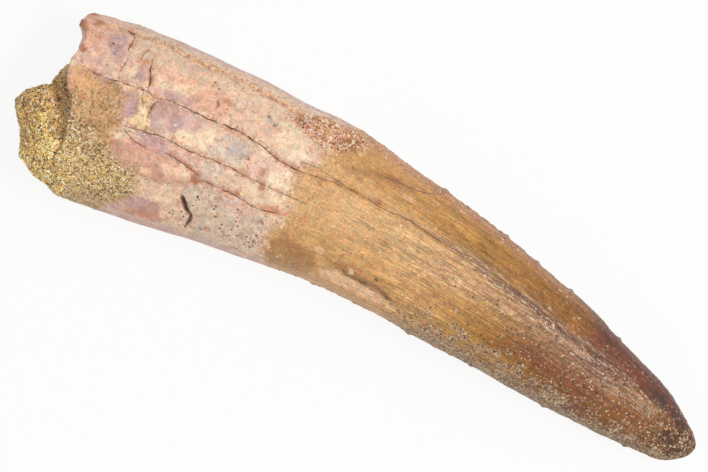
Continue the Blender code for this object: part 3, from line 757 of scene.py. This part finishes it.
def product(tree, first, *others):
    """Numbers or sockets multiplied together."""
    for other in others:
        first = reckon(tree, "MULTIPLY", first, other)
    return first


def ramp(tree, value, low, high, at_low=0.0, at_high=1.0):
    """A value taken from low..high to at_low..at_high by a smooth step, and held at both ends."""
    inputs = {"Value": value, "From Min": low, "From Max": high, "To Min": at_low, "To Max": at_high}
    return add_node(tree, "ShaderNodeMapRange", inputs, interpolation_type="SMOOTHSTEP").outputs[0]


# Where Blender's noise has nearly all of its values
NOISE_LOW, NOISE_HIGH = 0.3, 0.7


def varied(tree, *parts):
    """The product of noises, each taken from where its values lie to its own low and high."""
    return product(tree, *(ramp(tree, noise, NOISE_LOW, NOISE_HIGH, low, high) for noise, low, high in parts))


def between(tree, share, first, second):
    """A number between two others, by a share."""
    return add_node(tree, "ShaderNodeMix", {0: share, 2: first, 3: second}).outputs[0]


def mix_colour(tree, share, first, second, how="MIX"):
    """Two colours mixed by a share, or multiplied or otherwise combined by it."""
    inputs = {0: share, 6: first, 7: second}
    return add_node(tree, "ShaderNodeMix", inputs, data_type="RGBA", blend_type=how).outputs[2]


def speckle(tree, place, size, detail=2.0, stretch=(1, 1, 1)):
    """Noise over a place, in bumps of about a size in mm, drawn out along each axis by its stretch."""
    scale = [1 / (size * MM * along) for along in stretch]
    spread = add_node(tree, "ShaderNodeMapping", {"Vector": place, "Scale": scale})
    noise = {"Vector": spread.outputs[0], "Scale": 1.0, "Detail": detail, "Roughness": 0.6}
    return add_node(tree, "ShaderNodeTexNoise", noise).outputs[0]


def cells(tree, place, size, ragged=0.0):
    """Cells of a size in mm with ragged edges: how far from the middle, and two numbers drawn for each cell.

    The edges are made ragged by pushing each place about with noise, by a share of the cell's size.
    """
    noise = add_node(tree, "ShaderNodeTexNoise", {"Vector": place, "Scale": 2.5 / (size * MM), "Detail": 1.0})
    push = add_node(tree, "ShaderNodeVectorMath", {0: noise.outputs["Color"], "Scale": ragged * size * MM},
                    operation="SCALE")
    pushed = add_node(tree, "ShaderNodeVectorMath", {0: place, 1: push.outputs[0]}, operation="ADD")
    grid = add_node(tree, "ShaderNodeTexVoronoi", {"Vector": pushed.outputs[0], "Scale": 1 / (size * MM)})
    draw = add_node(tree, "ShaderNodeSeparateColor", {0: grid.outputs["Color"]})
    return grid.outputs["Distance"], draw.outputs[0], draw.outputs[1]


def pick_tone(tree, value, stops, blend="LINEAR"):
    """The tone at a value from 0 to 1, from stops given as (value, tone)."""
    node = add_node(tree, "ShaderNodeValToRGB", {0: value})
    node.color_ramp.interpolation = blend
    elements = node.color_ramp.elements
    while len(elements) < len(stops):
        elements.new(0.5)
    for element, (position, tone) in zip(elements, stops):
        element.position = position
        element.color = (*tone, 1)
    return node.outputs[0]


def raise_bumps(tree, *layers):
    """A normal with layers of bumps over one another, each a height, a depth in mm and a strength."""
    inputs = {}
    for height, depth, strength in layers:
        inputs.update({"Height": height, "Distance": depth * MM, "Strength": strength})
        inputs["Normal"] = add_node(tree, "ShaderNodeBump", inputs).outputs[0]
    return inputs["Normal"]


def new_material(name):
    """A material with its tree, its Principled shader and the piece's own coordinates."""
    material = bpy.data.materials.new(name)
    material.use_nodes = True
    tree = material.node_tree
    place = tree.nodes.new("ShaderNodeTexCoord").outputs["Object"]
    return material, tree, tree.nodes["Principled BSDF"], place


SAND_STOPS = [(0.0, (0.08, 0.045, 0.025)), (0.28, (0.28, 0.15, 0.06)), (0.6, (0.58, 0.38, 0.15)),
              (0.85, (0.80, 0.60, 0.32)), (1.0, (0.92, 0.82, 0.62))]
SPARKLE_STOPS = [(0.0, (0.02, 0.012, 0.01)), (0.3, (0.12, 0.07, 0.05)), (0.6, (0.42, 0.28, 0.19)),
                 (0.85, (0.66, 0.47, 0.27)), (1.0, (0.90, 0.73, 0.47))]
FLECK_STOPS = [(0.0, TONES["rust"]), (0.3, TONES["coral"]), (0.5, TONES["plum"]), (0.7, TONES["bark"]),
               (0.85, TONES["cream"]), (0.93, TONES["smoke"])]
# The tone of the glint lines painted on the crown: a painted highlight
GLINT_TONE = (0.92, 0.80, 0.66)
# What the hue's noise multiplies the tones by at its two ends
WARM, COOL = (1.07, 0.915, 0.85, 1), (0.945, 1.03, 1.1, 1)
# The stretch along X over which the lengthwise lines come in, in mm
STREAKS_FROM, STREAKS_TO = -9, 9
ENAMEL_IOR = 1.5


def fossil_material():
    """The tooth's finish: its painted tones with grain, streaks, crumbs, sand, specks and cracks."""
    material, tree, shader, place = new_material("fossil_tooth")
    parts = add_node(tree, "ShaderNodeSeparateColor", {0: carried(tree, "finish")})
    on_crown, on_sand, on_specks = parts.outputs
    on_glints = carried(tree, "finish", "Alpha")
    along = carried(tree, "lines", "Vector")

    clouds = speckle(tree, place, 0.9, 4.0)
    hue = speckle(tree, place, 0.55, 4.0)
    grain = speckle(tree, place, 0.3, 3.0)
    fine = speckle(tree, place, 0.11, 2.0)
    streak = speckle(tree, along, 0.15, 3.0, (20, 1, 1))
    thread = speckle(tree, along, 0.1, 2.0, (16, 1, 1))
    place_x = add_node(tree, "ShaderNodeSeparateXYZ", {0: place}).outputs[0]
    drawn = ramp(tree, place_x, STREAKS_FROM * MM, STREAKS_TO * MM, 0.25, 1.0)

    # The light and dark of the painted tones, and a warmer or cooler hue in turn
    dull_light = varied(tree, (clouds, 0.82, 1.14), (grain, 0.84, 1.12), (fine, 0.88, 1.12))
    lined = varied(tree, (streak, 0.8, 1.17), (thread, 0.68, 1.28))
    crown_light = product(tree, between(tree, drawn, 1.0, lined),
                          varied(tree, (clouds, 0.86, 1.1), (grain, 0.82, 1.14), (fine, 0.8, 1.18)))
    light = between(tree, on_crown, dull_light, crown_light)
    colour = mix_colour(tree, 1.0, carried(tree, "paint"), light, "MULTIPLY")
    warmth = mix_colour(tree, ramp(tree, hue, 0.35, 0.65), WARM, COOL)
    colour = mix_colour(tree, 1.0, colour, warmth, "MULTIPLY")

    # The dark scores, and bright lines painted on as glints along the top of the crown: a painted highlight
    score, painted_glints = ramp(tree, thread, 0.46, 0.34), ramp(tree, thread, 0.57, 0.66)
    for share, tone in ((score, TONES["dusk"]), (painted_glints, GLINT_TONE)):
        colour = mix_colour(tree, product(tree, share, on_glints, 0.6), colour, (*tone, 1))

    # Reddish flecks, then the root's sand and the crown's
    _, fleck_draw, fleck_tone = cells(tree, place, 0.26, 0.9)
    fleck_chance = reckon(tree, "ADD", fleck_draw, carried(tree, "flecks", "Fac"))
    is_fleck = ramp(tree, fleck_chance, 0.97, 1.03, 0.0, 0.65)
    colour = mix_colour(tree, is_fleck, colour, pick_tone(tree, fleck_tone, FLECK_STOPS, "CONSTANT"))
    grain_middle, grain_tone, grain_draw = cells(tree, place, 0.17, 0.5)
    is_grain = ramp(tree, reckon(tree, "ADD", grain_draw, on_sand), 0.93, 1.05, 0.0, 0.9)
    opaque = ramp(tree, on_sand, 0.4, 0.9, 0.5, 1.0)
    blended = mix_colour(tree, opaque, colour, pick_tone(tree, grain_tone, SAND_STOPS))
    _, crown_tone, crown_draw = cells(tree, place, 0.17, 0.7)
    is_sparkle = ramp(tree, reckon(tree, "ADD", crown_draw, on_sand), 0.95, 1.05, 0.0, 0.9)
    sparkling = mix_colour(tree, is_sparkle, colour, pick_tone(tree, crown_tone, SPARKLE_STOPS))
    colour = mix_colour(tree, on_crown, mix_colour(tree, is_grain, colour, blended), sparkling)

    # Round black specks of many sizes
    speck_middle, speck_size, speck_draw = cells(tree, place, 0.4, 0.6)
    within = reckon(tree, "SUBTRACT", ramp(tree, speck_size, 0.0, 1.0, 0.15, 0.42), speck_middle)
    shown = ramp(tree, reckon(tree, "SUBTRACT", on_specks, speck_draw), 0.0, 0.08)
    is_speck = product(tree, ramp(tree, within, -0.02, 0.08, 0.0, 0.92), shown)
    colour = mix_colour(tree, is_speck, colour, (*TONES["coal"], 1))

    # The cracks' gaps, darkest where a slow noise says so
    dark = ramp(tree, reckon(tree, "ABSOLUTE", carried(tree, "crack", "Fac")), 0.5, 1.7, 1.0, 0.0)
    crack_share = product(tree, dark, ramp(tree, speckle(tree, place, 0.7), 0.38, 0.6, 0.55, 1.0))
    crack_tone = mix_colour(tree, on_crown, (*TONES["pit"], 1), (*TONES["dusk"], 1))
    tree.links.new(mix_colour(tree, crack_share, colour, crack_tone), shader.inputs["Base Color"])

    polish = product(tree, on_glints, ramp(tree, thread, 0.48, 0.6))
    crown_gloss = between(tree, polish, varied(tree, (streak, 0.5, 0.38)), 0.12)
    gloss = between(tree, on_crown, varied(tree, (grain, 0.45, 0.6)), crown_gloss)
    matt = reckon(tree, "MAXIMUM", is_grain, dark)
    tree.links.new(between(tree, matt, gloss, 0.7), shader.inputs["Roughness"])
    shader.inputs["IOR"].default_value = ENAMEL_IOR

    lengthwise = product(tree, reckon(tree, "ADD", streak, product(tree, thread, 0.5)), on_crown)
    round_grains = product(tree, reckon(tree, "SUBTRACT", 1.0, grain_middle), is_grain)
    bumps = raise_bumps(tree, (grain, 0.05, 0.5), (lengthwise, 0.08, 0.9), (is_fleck, 0.05, 0.5),
                        (round_grains, 0.1, 0.8), (reckon(tree, "SUBTRACT", 1.0, dark), 0.1, 0.7))
    tree.links.new(bumps, shader.inputs["Normal"])
    return material


tooth.data.materials.append(fossil_material())
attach(tooth, "root")
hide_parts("tooth")

# The sandstone is sand that filled the root's hollow and set hard, and broke off in a rough lump outside it.
# Its rim spreads over the broken wall: hardly at +Y, halfway on top, and right to the edge at -Y.
LUMP_CENTRE, LUMP_REACH = (-4.5, 8.3), 6.1
LUMP_BLUNTNESS = (1.2, 4.4)
RIM_COVER = [(0, 0.02), (50, 0.1), (80, 0.35), (105, 0.75), (125, 0.98), (180, 0.98), (235, 0.9), (280, 0.5),
             (320, 0.1), (360, 0.02)]
RIM_SINK = 0.35
LUMP_RINGS, LUMP_AROUND = 150, 300
LUMP_BACK_X = -33
# The lump's smallest height above the floor, in mm
LUMP_CLEARANCE = 0.3
# How far the lump's outline lies inside that plain shape, as (y, mm), and its hollows and knobs, each as
# how far it stands out, its middle (x, y, z), its radius and its tone
LUMP_TRIM = [(-12, -1.3), (-10, -0.8), (-9, -0.35), (-8, 0.0), (-6.5, 0.3), (-5, -0.25), (-4, -0.6),
             (-3, -0.3), (-2, 0.75), (-1, 2.1), (0, 1.95), (1, 1.65), (2.5, 0.7), (4, 0.3)]
LUMP_FORMS = [(0.5, -42.4, -5.4, 12.0, 1.4, "rock"), (0.5, -40.6, 1.8, 13.0, 0.9, "rock"),
              (-0.5, -41.4, -7.4, 12.4, 1.1, "rock"), (0.7, -40.2, -9.4, 11.8, 1.2, "gold"),
              (0.6, -39.6, -5.8, 14.2, 1.0, "rock"), (0.5, -41.6, -1.6, 12.6, 1.0, "russet"),
              (0.2, -42.6, -3.6, 12.6, 1.7, "drab"), (0.2, -41.4, -6.0, 12.4, 1.2, "drab"),
              (-0.75, -39.6, -1.4, 13.6, 1.5, "hollow"), (-0.55, -38.6, -2.8, 14.6, 1.3, "hollow"),
              (-0.5, -38.0, -5.2, 14.8, 0.8, "russet"), (0.9, -37.7, -6.6, 14.8, 0.7, "pebble"),
              (-0.9, -36.9, -7.4, 14.6, 0.6, "hollow")]
TONES.update({"hollow": (0.66, 0.40, 0.24), "rock": (0.70, 0.44, 0.16), "gold": (0.90, 0.61, 0.22),
              "russet": (0.48, 0.26, 0.11), "drab": (0.62, 0.36, 0.14), "pebble": (0.92, 0.70, 0.40)})

lump_angle = np.linspace(0, 2 * np.pi, LUMP_AROUND, endpoint=False)
cover = smooth(np.degrees(lump_angle), RIM_COVER)
mouth = np.array(oval(lump_angle, HOLLOW_CENTRE, HOLLOW_RADII))
root_rim = np.array(section(break_rim(lump_angle), lump_angle))
lump_rim = mouth + (root_rim - mouth) * cover
sloping, blunt = LUMP_BLUNTNESS
lump_power = (blunt + sloping) / 2 - (blunt - sloping) / 2 * np.cos(lump_angle)
lump_middle = np.array(LUMP_CENTRE)[:, None]
lump_rings = []
for share in np.linspace(0, 1, LUMP_RINGS + 1)[1:]:
    lump_y, lump_z = lump_middle + (lump_rim - lump_middle) * share
    lump_x = broken_end(lump_y, lump_z) + RIM_SINK - LUMP_REACH * (1 - share**lump_power)
    rim_trim = smooth(lump_y + OUTLINE_TO_FRAME[1], END_TRIM) * soft_step(lump_z, 4, 12)
    lump_x = lump_x + smooth(lump_y, LUMP_TRIM) * (1 - share**4) + rim_trim * share**4
    lump_rings.append((lump_x, lump_y, lump_z))
lump_rings = np.moveaxis(np.array(lump_rings), 1, 2) + OUTLINE_TO_FRAME
lump_facing = -outward(lump_rings)
lump_bump = sum(height * relief(lump_rings, size, shift, 2)
                for height, size, shift in ((0.35, 3, 1.1), (0.3, 1.2, 3.2), (0.15, 0.5, 5.5)))
towards_edge = 0.04 * (lump_rings[..., 1] + 3)
lump_paint = lay(np.zeros(lump_rings.shape) + TONES["rock"],
                 (1, "gold", 1, relief(lump_rings, 2, 6.3, 3) - 2 * towards_edge, 0, 0.4),
                 (1, "russet", 0.7, relief(lump_rings, 1.6, 9.1, 3) + 3 * towards_edge, -0.1, 0.3))
ragged = 0.25 * relief(lump_rings, 0.8, 2.1, 2)
for stand, *form_middle, radius, tone in LUMP_FORMS:
    form = near(np.linalg.norm(lump_rings - form_middle, axis=-1), radius)
    lump_bump += stand * form
    lump_paint = lay(lump_paint, (1, tone, 0.9, form + ragged, 0.2, 0.6))
inner_share = np.linspace(0, 1, LUMP_RINGS + 1)[1:][:, None]
lump_bump = lump_bump * (1 - 0.6 * soft_step(inner_share, 0.9, 1.0))
lump_moved = lump_rings + lump_facing * lump_bump[..., None]
lump_moved[..., 2] = np.maximum(lump_moved[..., 2], LUMP_CLEARANCE)

lump_tip = np.array([broken_end(*LUMP_CENTRE) + RIM_SINK - LUMP_REACH, *LUMP_CENTRE]) + OUTLINE_TO_FRAME
lump_tip[0] += smooth(LUMP_CENTRE[0], LUMP_TRIM)
lump_back = np.array([LUMP_BACK_X, *HOLLOW_CENTRE]) + OUTLINE_TO_FRAME
sandstone = closed_mesh("sandstone_lump", lump_tip, lump_moved, lump_back)
keep_colour(sandstone.data, "paint", with_poles(np.clip(lump_paint, 0.01, 1)))


def sandstone_material():
    """The rock between the grains: its painted tones broken up into cells of light and dark, quite rough."""
    material, tree, shader, place = new_material("sandstone")
    middle, cell_light, cell_rough = cells(tree, place, 0.3, 0.5)
    fine = speckle(tree, place, 0.15)
    light = product(tree, ramp(tree, cell_light, 0.0, 1.0, 0.35, 1.4), varied(tree, (fine, 0.75, 1.2)))
    colour = mix_colour(tree, 1.0, carried(tree, "paint"), light, "MULTIPLY")
    tree.links.new(colour, shader.inputs["Base Color"])
    tree.links.new(ramp(tree, cell_rough, 0.0, 1.0, 0.5, 0.95), shader.inputs["Roughness"])
    bumps = raise_bumps(tree, (reckon(tree, "SUBTRACT", 1.0, middle), 0.22, 0.9), (fine, 0.08, 0.6))
    tree.links.new(bumps, shader.inputs["Normal"])
    return material


sandstone.data.materials.append(sandstone_material())
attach(sandstone, "root")
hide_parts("sandstone")

# Quartz grains stand out of the sandstone and stick to the tooth: angular, a third of a millimetre across.
# Each is a ball of twenty faces with its corners pushed in or out, half sunk in what it sticks to.
GOLDEN = (1 + 5**0.5) / 2
BALL_POINTS = np.array([(0, a, b * GOLDEN) for a in (-1, 1) for b in (-1, 1)]
                       + [(a, b * GOLDEN, 0) for a in (-1, 1) for b in (-1, 1)]
                       + [(b * GOLDEN, 0, a) for a in (-1, 1) for b in (-1, 1)]) / np.hypot(1, GOLDEN)
BALL_EDGE = 2 / np.hypot(1, GOLDEN)
# The tones of the grains and their shares: gold, tan, pale, brown, amber, clear and black
GRAIN_TONES = np.array([(0.84, 0.55, 0.17), (0.62, 0.36, 0.13), (0.96, 0.79, 0.46), (0.28, 0.13, 0.05),
                        (0.88, 0.53, 0.09), (0.90, 0.82, 0.66), (0.08, 0.05, 0.03)])
GRAIN_SHARES = [0.28, 0.25, 0.16, 0.15, 0.05, 0.05, 0.06]


def ball_faces():
    """Every three of the ball's points that are an edge apart, in the order that faces outwards."""
    faces = []
    for a, b, c in itertools.combinations(range(len(BALL_POINTS)), 3):
        p, q, r = BALL_POINTS[[a, b, c]]
        if max(np.linalg.norm(p - q), np.linalg.norm(q - r), np.linalg.norm(r - p)) < BALL_EDGE * 1.1:
            faces.append((a, b, c) if np.dot(np.cross(q - p, r - p), p) > 0 else (a, c, b))
    return np.array(faces)


def scatter(random, grid, weight, count):
    """Random places on a grid of rings, each as likely as its cell's area times its weight.

    It gives the places, the directions that they face, and the row and column of the cell that each is in.
    """
    following = np.roll(grid, -1, axis=1)
    a, b, c, d = grid[:-1], following[:-1], following[1:], grid[1:]
    cross = np.cross(c - a, d - b)
    area = np.linalg.norm(cross, axis=-1)
    chance = (area * weight[:-1]).ravel()
    cell = random.choice(chance.size, count, p=chance / chance.sum())
    rows, columns = np.unravel_index(cell, area.shape)
    u, v = random.random((2, count, 1))
    a, b, c, d = (corner[rows, columns] for corner in (a, b, c, d))
    places = (a * (1 - u) + b * u) * (1 - v) + (d * (1 - u) + c * u) * v
    facing = cross[rows, columns] / np.maximum(area[rows, columns], 1e-9)[:, None]
    return places, facing, rows, columns


def grain_piece(name, random, places, facing, sizes, colours):
    """Joined grains: each ball is stretched, turned and jittered at random, and set on its place.

    Its turn is about a random axis, by the axis-and-angle rule. Grains that would dip below the floor are
    left out. A fifth of each grain's size lifts it off the surface.
    """
    places = places + facing * sizes[:, None] * 0.2
    clear = places[:, 2] > sizes * 0.75
    places, sizes, colours = places[clear], sizes[clear], colours[clear]
    count = len(places)
    jitter = random.uniform(0.7, 1.15, (count, len(BALL_POINTS), 1))
    points = BALL_POINTS * jitter * random.uniform(0.7, 1.15, (count, 1, 3))
    axis = random.normal(size=(count, 1, 3))
    axis /= np.linalg.norm(axis, axis=-1, keepdims=True)
    turn = random.uniform(0, 2 * np.pi, (count, 1, 1))
    points = (points * np.cos(turn) + np.cross(axis, points) * np.sin(turn)
              + axis * (points * axis).sum(axis=-1, keepdims=True) * (1 - np.cos(turn)))
    points = places[:, None] + points * sizes[:, None, None] / 2
    faces = ball_faces() + len(BALL_POINTS) * np.arange(count)[:, None, None]
    mesh = bpy.data.meshes.new(name)
    mesh.from_pydata(points.reshape(-1, 3) * MM, [], faces.reshape(-1, 3).tolist())
    piece = add_piece(name, mesh)
    keep_colour(mesh, "grain", np.repeat(np.clip(colours, 0.01, 1), len(BALL_POINTS), axis=0))
    mesh.materials.append(grain_finish)
    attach(piece, "root")


def grain_material():
    """Quartz and stained grains: each grain's own tone, slightly cloudy, half glossy."""
    material, tree, shader, place = new_material("sand_grains")
    cloud = speckle(tree, place, 0.12)
    colour = mix_colour(tree, 1.0, carried(tree, "grain"), varied(tree, (cloud, 0.75, 1.2)), "MULTIPLY")
    tree.links.new(colour, shader.inputs["Base Color"])
    tree.links.new(varied(tree, (cloud, 0.25, 0.5)), shader.inputs["Roughness"])
    tree.links.new(raise_bumps(tree, (cloud, 0.05, 0.5)), shader.inputs["Normal"])
    return material


def drawn_tones(random, tones, shares, count, low, high):
    """A tone for each grain, drawn by the tones' shares, and made lighter or darker at random."""
    return tones[random.choice(len(tones), count, p=shares)] * random.uniform(low, high, (count, 1))


def sand_tones(random, count):
    """A tone of the sand for each grain, up to a fifth lighter or darker."""
    return drawn_tones(random, GRAIN_TONES, GRAIN_SHARES, count, 0.8, 1.2)


grain_finish = grain_material()
LUMP_GRAINS, FILM_GRAINS, CROWN_GRAINS, CRUMBS = 9500, 9500, 6000, 3800

random = np.random.default_rng(5)
places, grain_facing, rows, columns = scatter(random, lump_moved, np.ones(lump_bump.shape), LUMP_GRAINS)
shade = lump_paint[rows, columns].mean(axis=-1, keepdims=True) / np.mean(TONES["rock"])
colours = sand_tones(random, LUMP_GRAINS) * (0.3 + 0.8 * shade)
sizes = random.uniform(0.18, 0.42, LUMP_GRAINS)
grain_piece("sandstone_grains", random, places, -grain_facing, sizes, colours)

film_weight = (0.02 * film + thick * (0.3 + soft_step(thick_depth, 0, 4))) * (row < SKIN_RINGS + END_RINGS)
film_weight = film_weight * (1 - rim_line)
places, grain_facing, rows, columns = scatter(random, moved, film_weight, FILM_GRAINS)
colours = sand_tones(random, FILM_GRAINS) * 0.95 + paint[rows, columns] * 0.2
sizes = random.uniform(0.12, 0.34, FILM_GRAINS) * (0.6 + 0.4 * thick[rows, columns])
grain_piece("root_sand", random, places, grain_facing, sizes, colours)

crown_weight = 0.7 * stray * soft_step(x, 0, 16) + 0.3 * edge_line * (x > 0)
places, grain_facing, rows, columns = scatter(random, moved, crown_weight * on_skin, CROWN_GRAINS)
colours = paint[rows, columns] * random.uniform(0.2, 2.2, (CROWN_GRAINS, 1)) * 0.7
colours = colours + sand_tones(random, CROWN_GRAINS) * 0.25
grain_piece("crown_sand", random, places, grain_facing, random.uniform(0.07, 0.17, CROWN_GRAINS), colours)

# Crumbs of stained rock lie along the enamel's upper border, its upper edge, the groove and the cracks
CRUMB_TONES = np.array([TONES[tone] for tone in
                        ("salmon", "cream", "rust", "orange", "bark", "ivory", "blood")])
CRUMB_SHARES = [0.16, 0.10, 0.26, 0.18, 0.14, 0.06, 0.10]
crumb_weight = (0.9 * crumbly + 0.4 * in_groove + 0.8 * rim * stretch(x, -14, -10, 4, 14)
                + 1.2 * edge_line * soft_step(x, -14, -11) * upper + 0.12 * near_crack * root)
places, grain_facing, rows, columns = scatter(random, moved, crumb_weight * on_skin, CRUMBS)
colours = drawn_tones(random, CRUMB_TONES, CRUMB_SHARES, CRUMBS, 0.8, 1.15)
sizes = random.uniform(0.1, 0.22, CRUMBS) + 0.45 * crumbly[rows, columns] * random.random(CRUMBS) ** 2
grain_piece("border_crumbs", random, places, grain_facing, sizes, colours)

# The floor is a wide pale sheet, lit a little from within, so that the tooth's own shade on it stays faint.
FLOOR_HALF = 4000
FLOOR_TONE = (0.08, 0.08, 0.08)
FLOOR_GLOW = 0.9
corners = np.array([(-1, -1, 0), (1, -1, 0), (1, 1, 0), (-1, 1, 0)]) * FLOOR_HALF * MM
floor_mesh = bpy.data.meshes.new("floor")
floor_mesh.from_pydata(corners.tolist(), [], [(0, 1, 2, 3)])
floor = add_piece("floor", floor_mesh)
floor_finish, _, floor_shader, _ = new_material("floor")
for socket, value in (("Base Color", (*FLOOR_TONE, 1)), ("Roughness", 1.0), ("Specular IOR Level", 0.0),
                      ("Emission Color", (1, 1, 1, 1)), ("Emission Strength", FLOOR_GLOW)):
    floor_shader.inputs[socket].default_value = value
floor_mesh.materials.append(floor_finish)

# A white room's even light, and one soft box overhead, a little towards the tip, for the enamel's glints.
ROOM_LIGHT = 0.48
BOX_PLACE = (350, 140, 850)
BOX_LENGTH, BOX_WIDTH = 420, 120
BOX_POWER = 5.6
world = bpy.data.worlds.new("white room")
bpy.context.scene.world = world
world.use_nodes = True
world.node_tree.nodes["Background"].inputs["Color"].default_value = (1, 1, 1, 1)
world.node_tree.nodes["Background"].inputs["Strength"].default_value = ROOM_LIGHT
soft_box = bpy.data.objects.new("soft box", bpy.data.lights.new("soft box", "AREA"))
soft_box.data.shape = "RECTANGLE"
soft_box.data.size, soft_box.data.size_y = BOX_LENGTH * MM, BOX_WIDTH * MM
soft_box.data.energy = BOX_POWER
soft_box.location = [place * MM for place in BOX_PLACE]
soft_box.rotation_euler = (-soft_box.location).to_track_quat("-Z", "Y").to_euler()
soft_box.visible_camera = False
bpy.context.scene.collection.objects.link(soft_box)
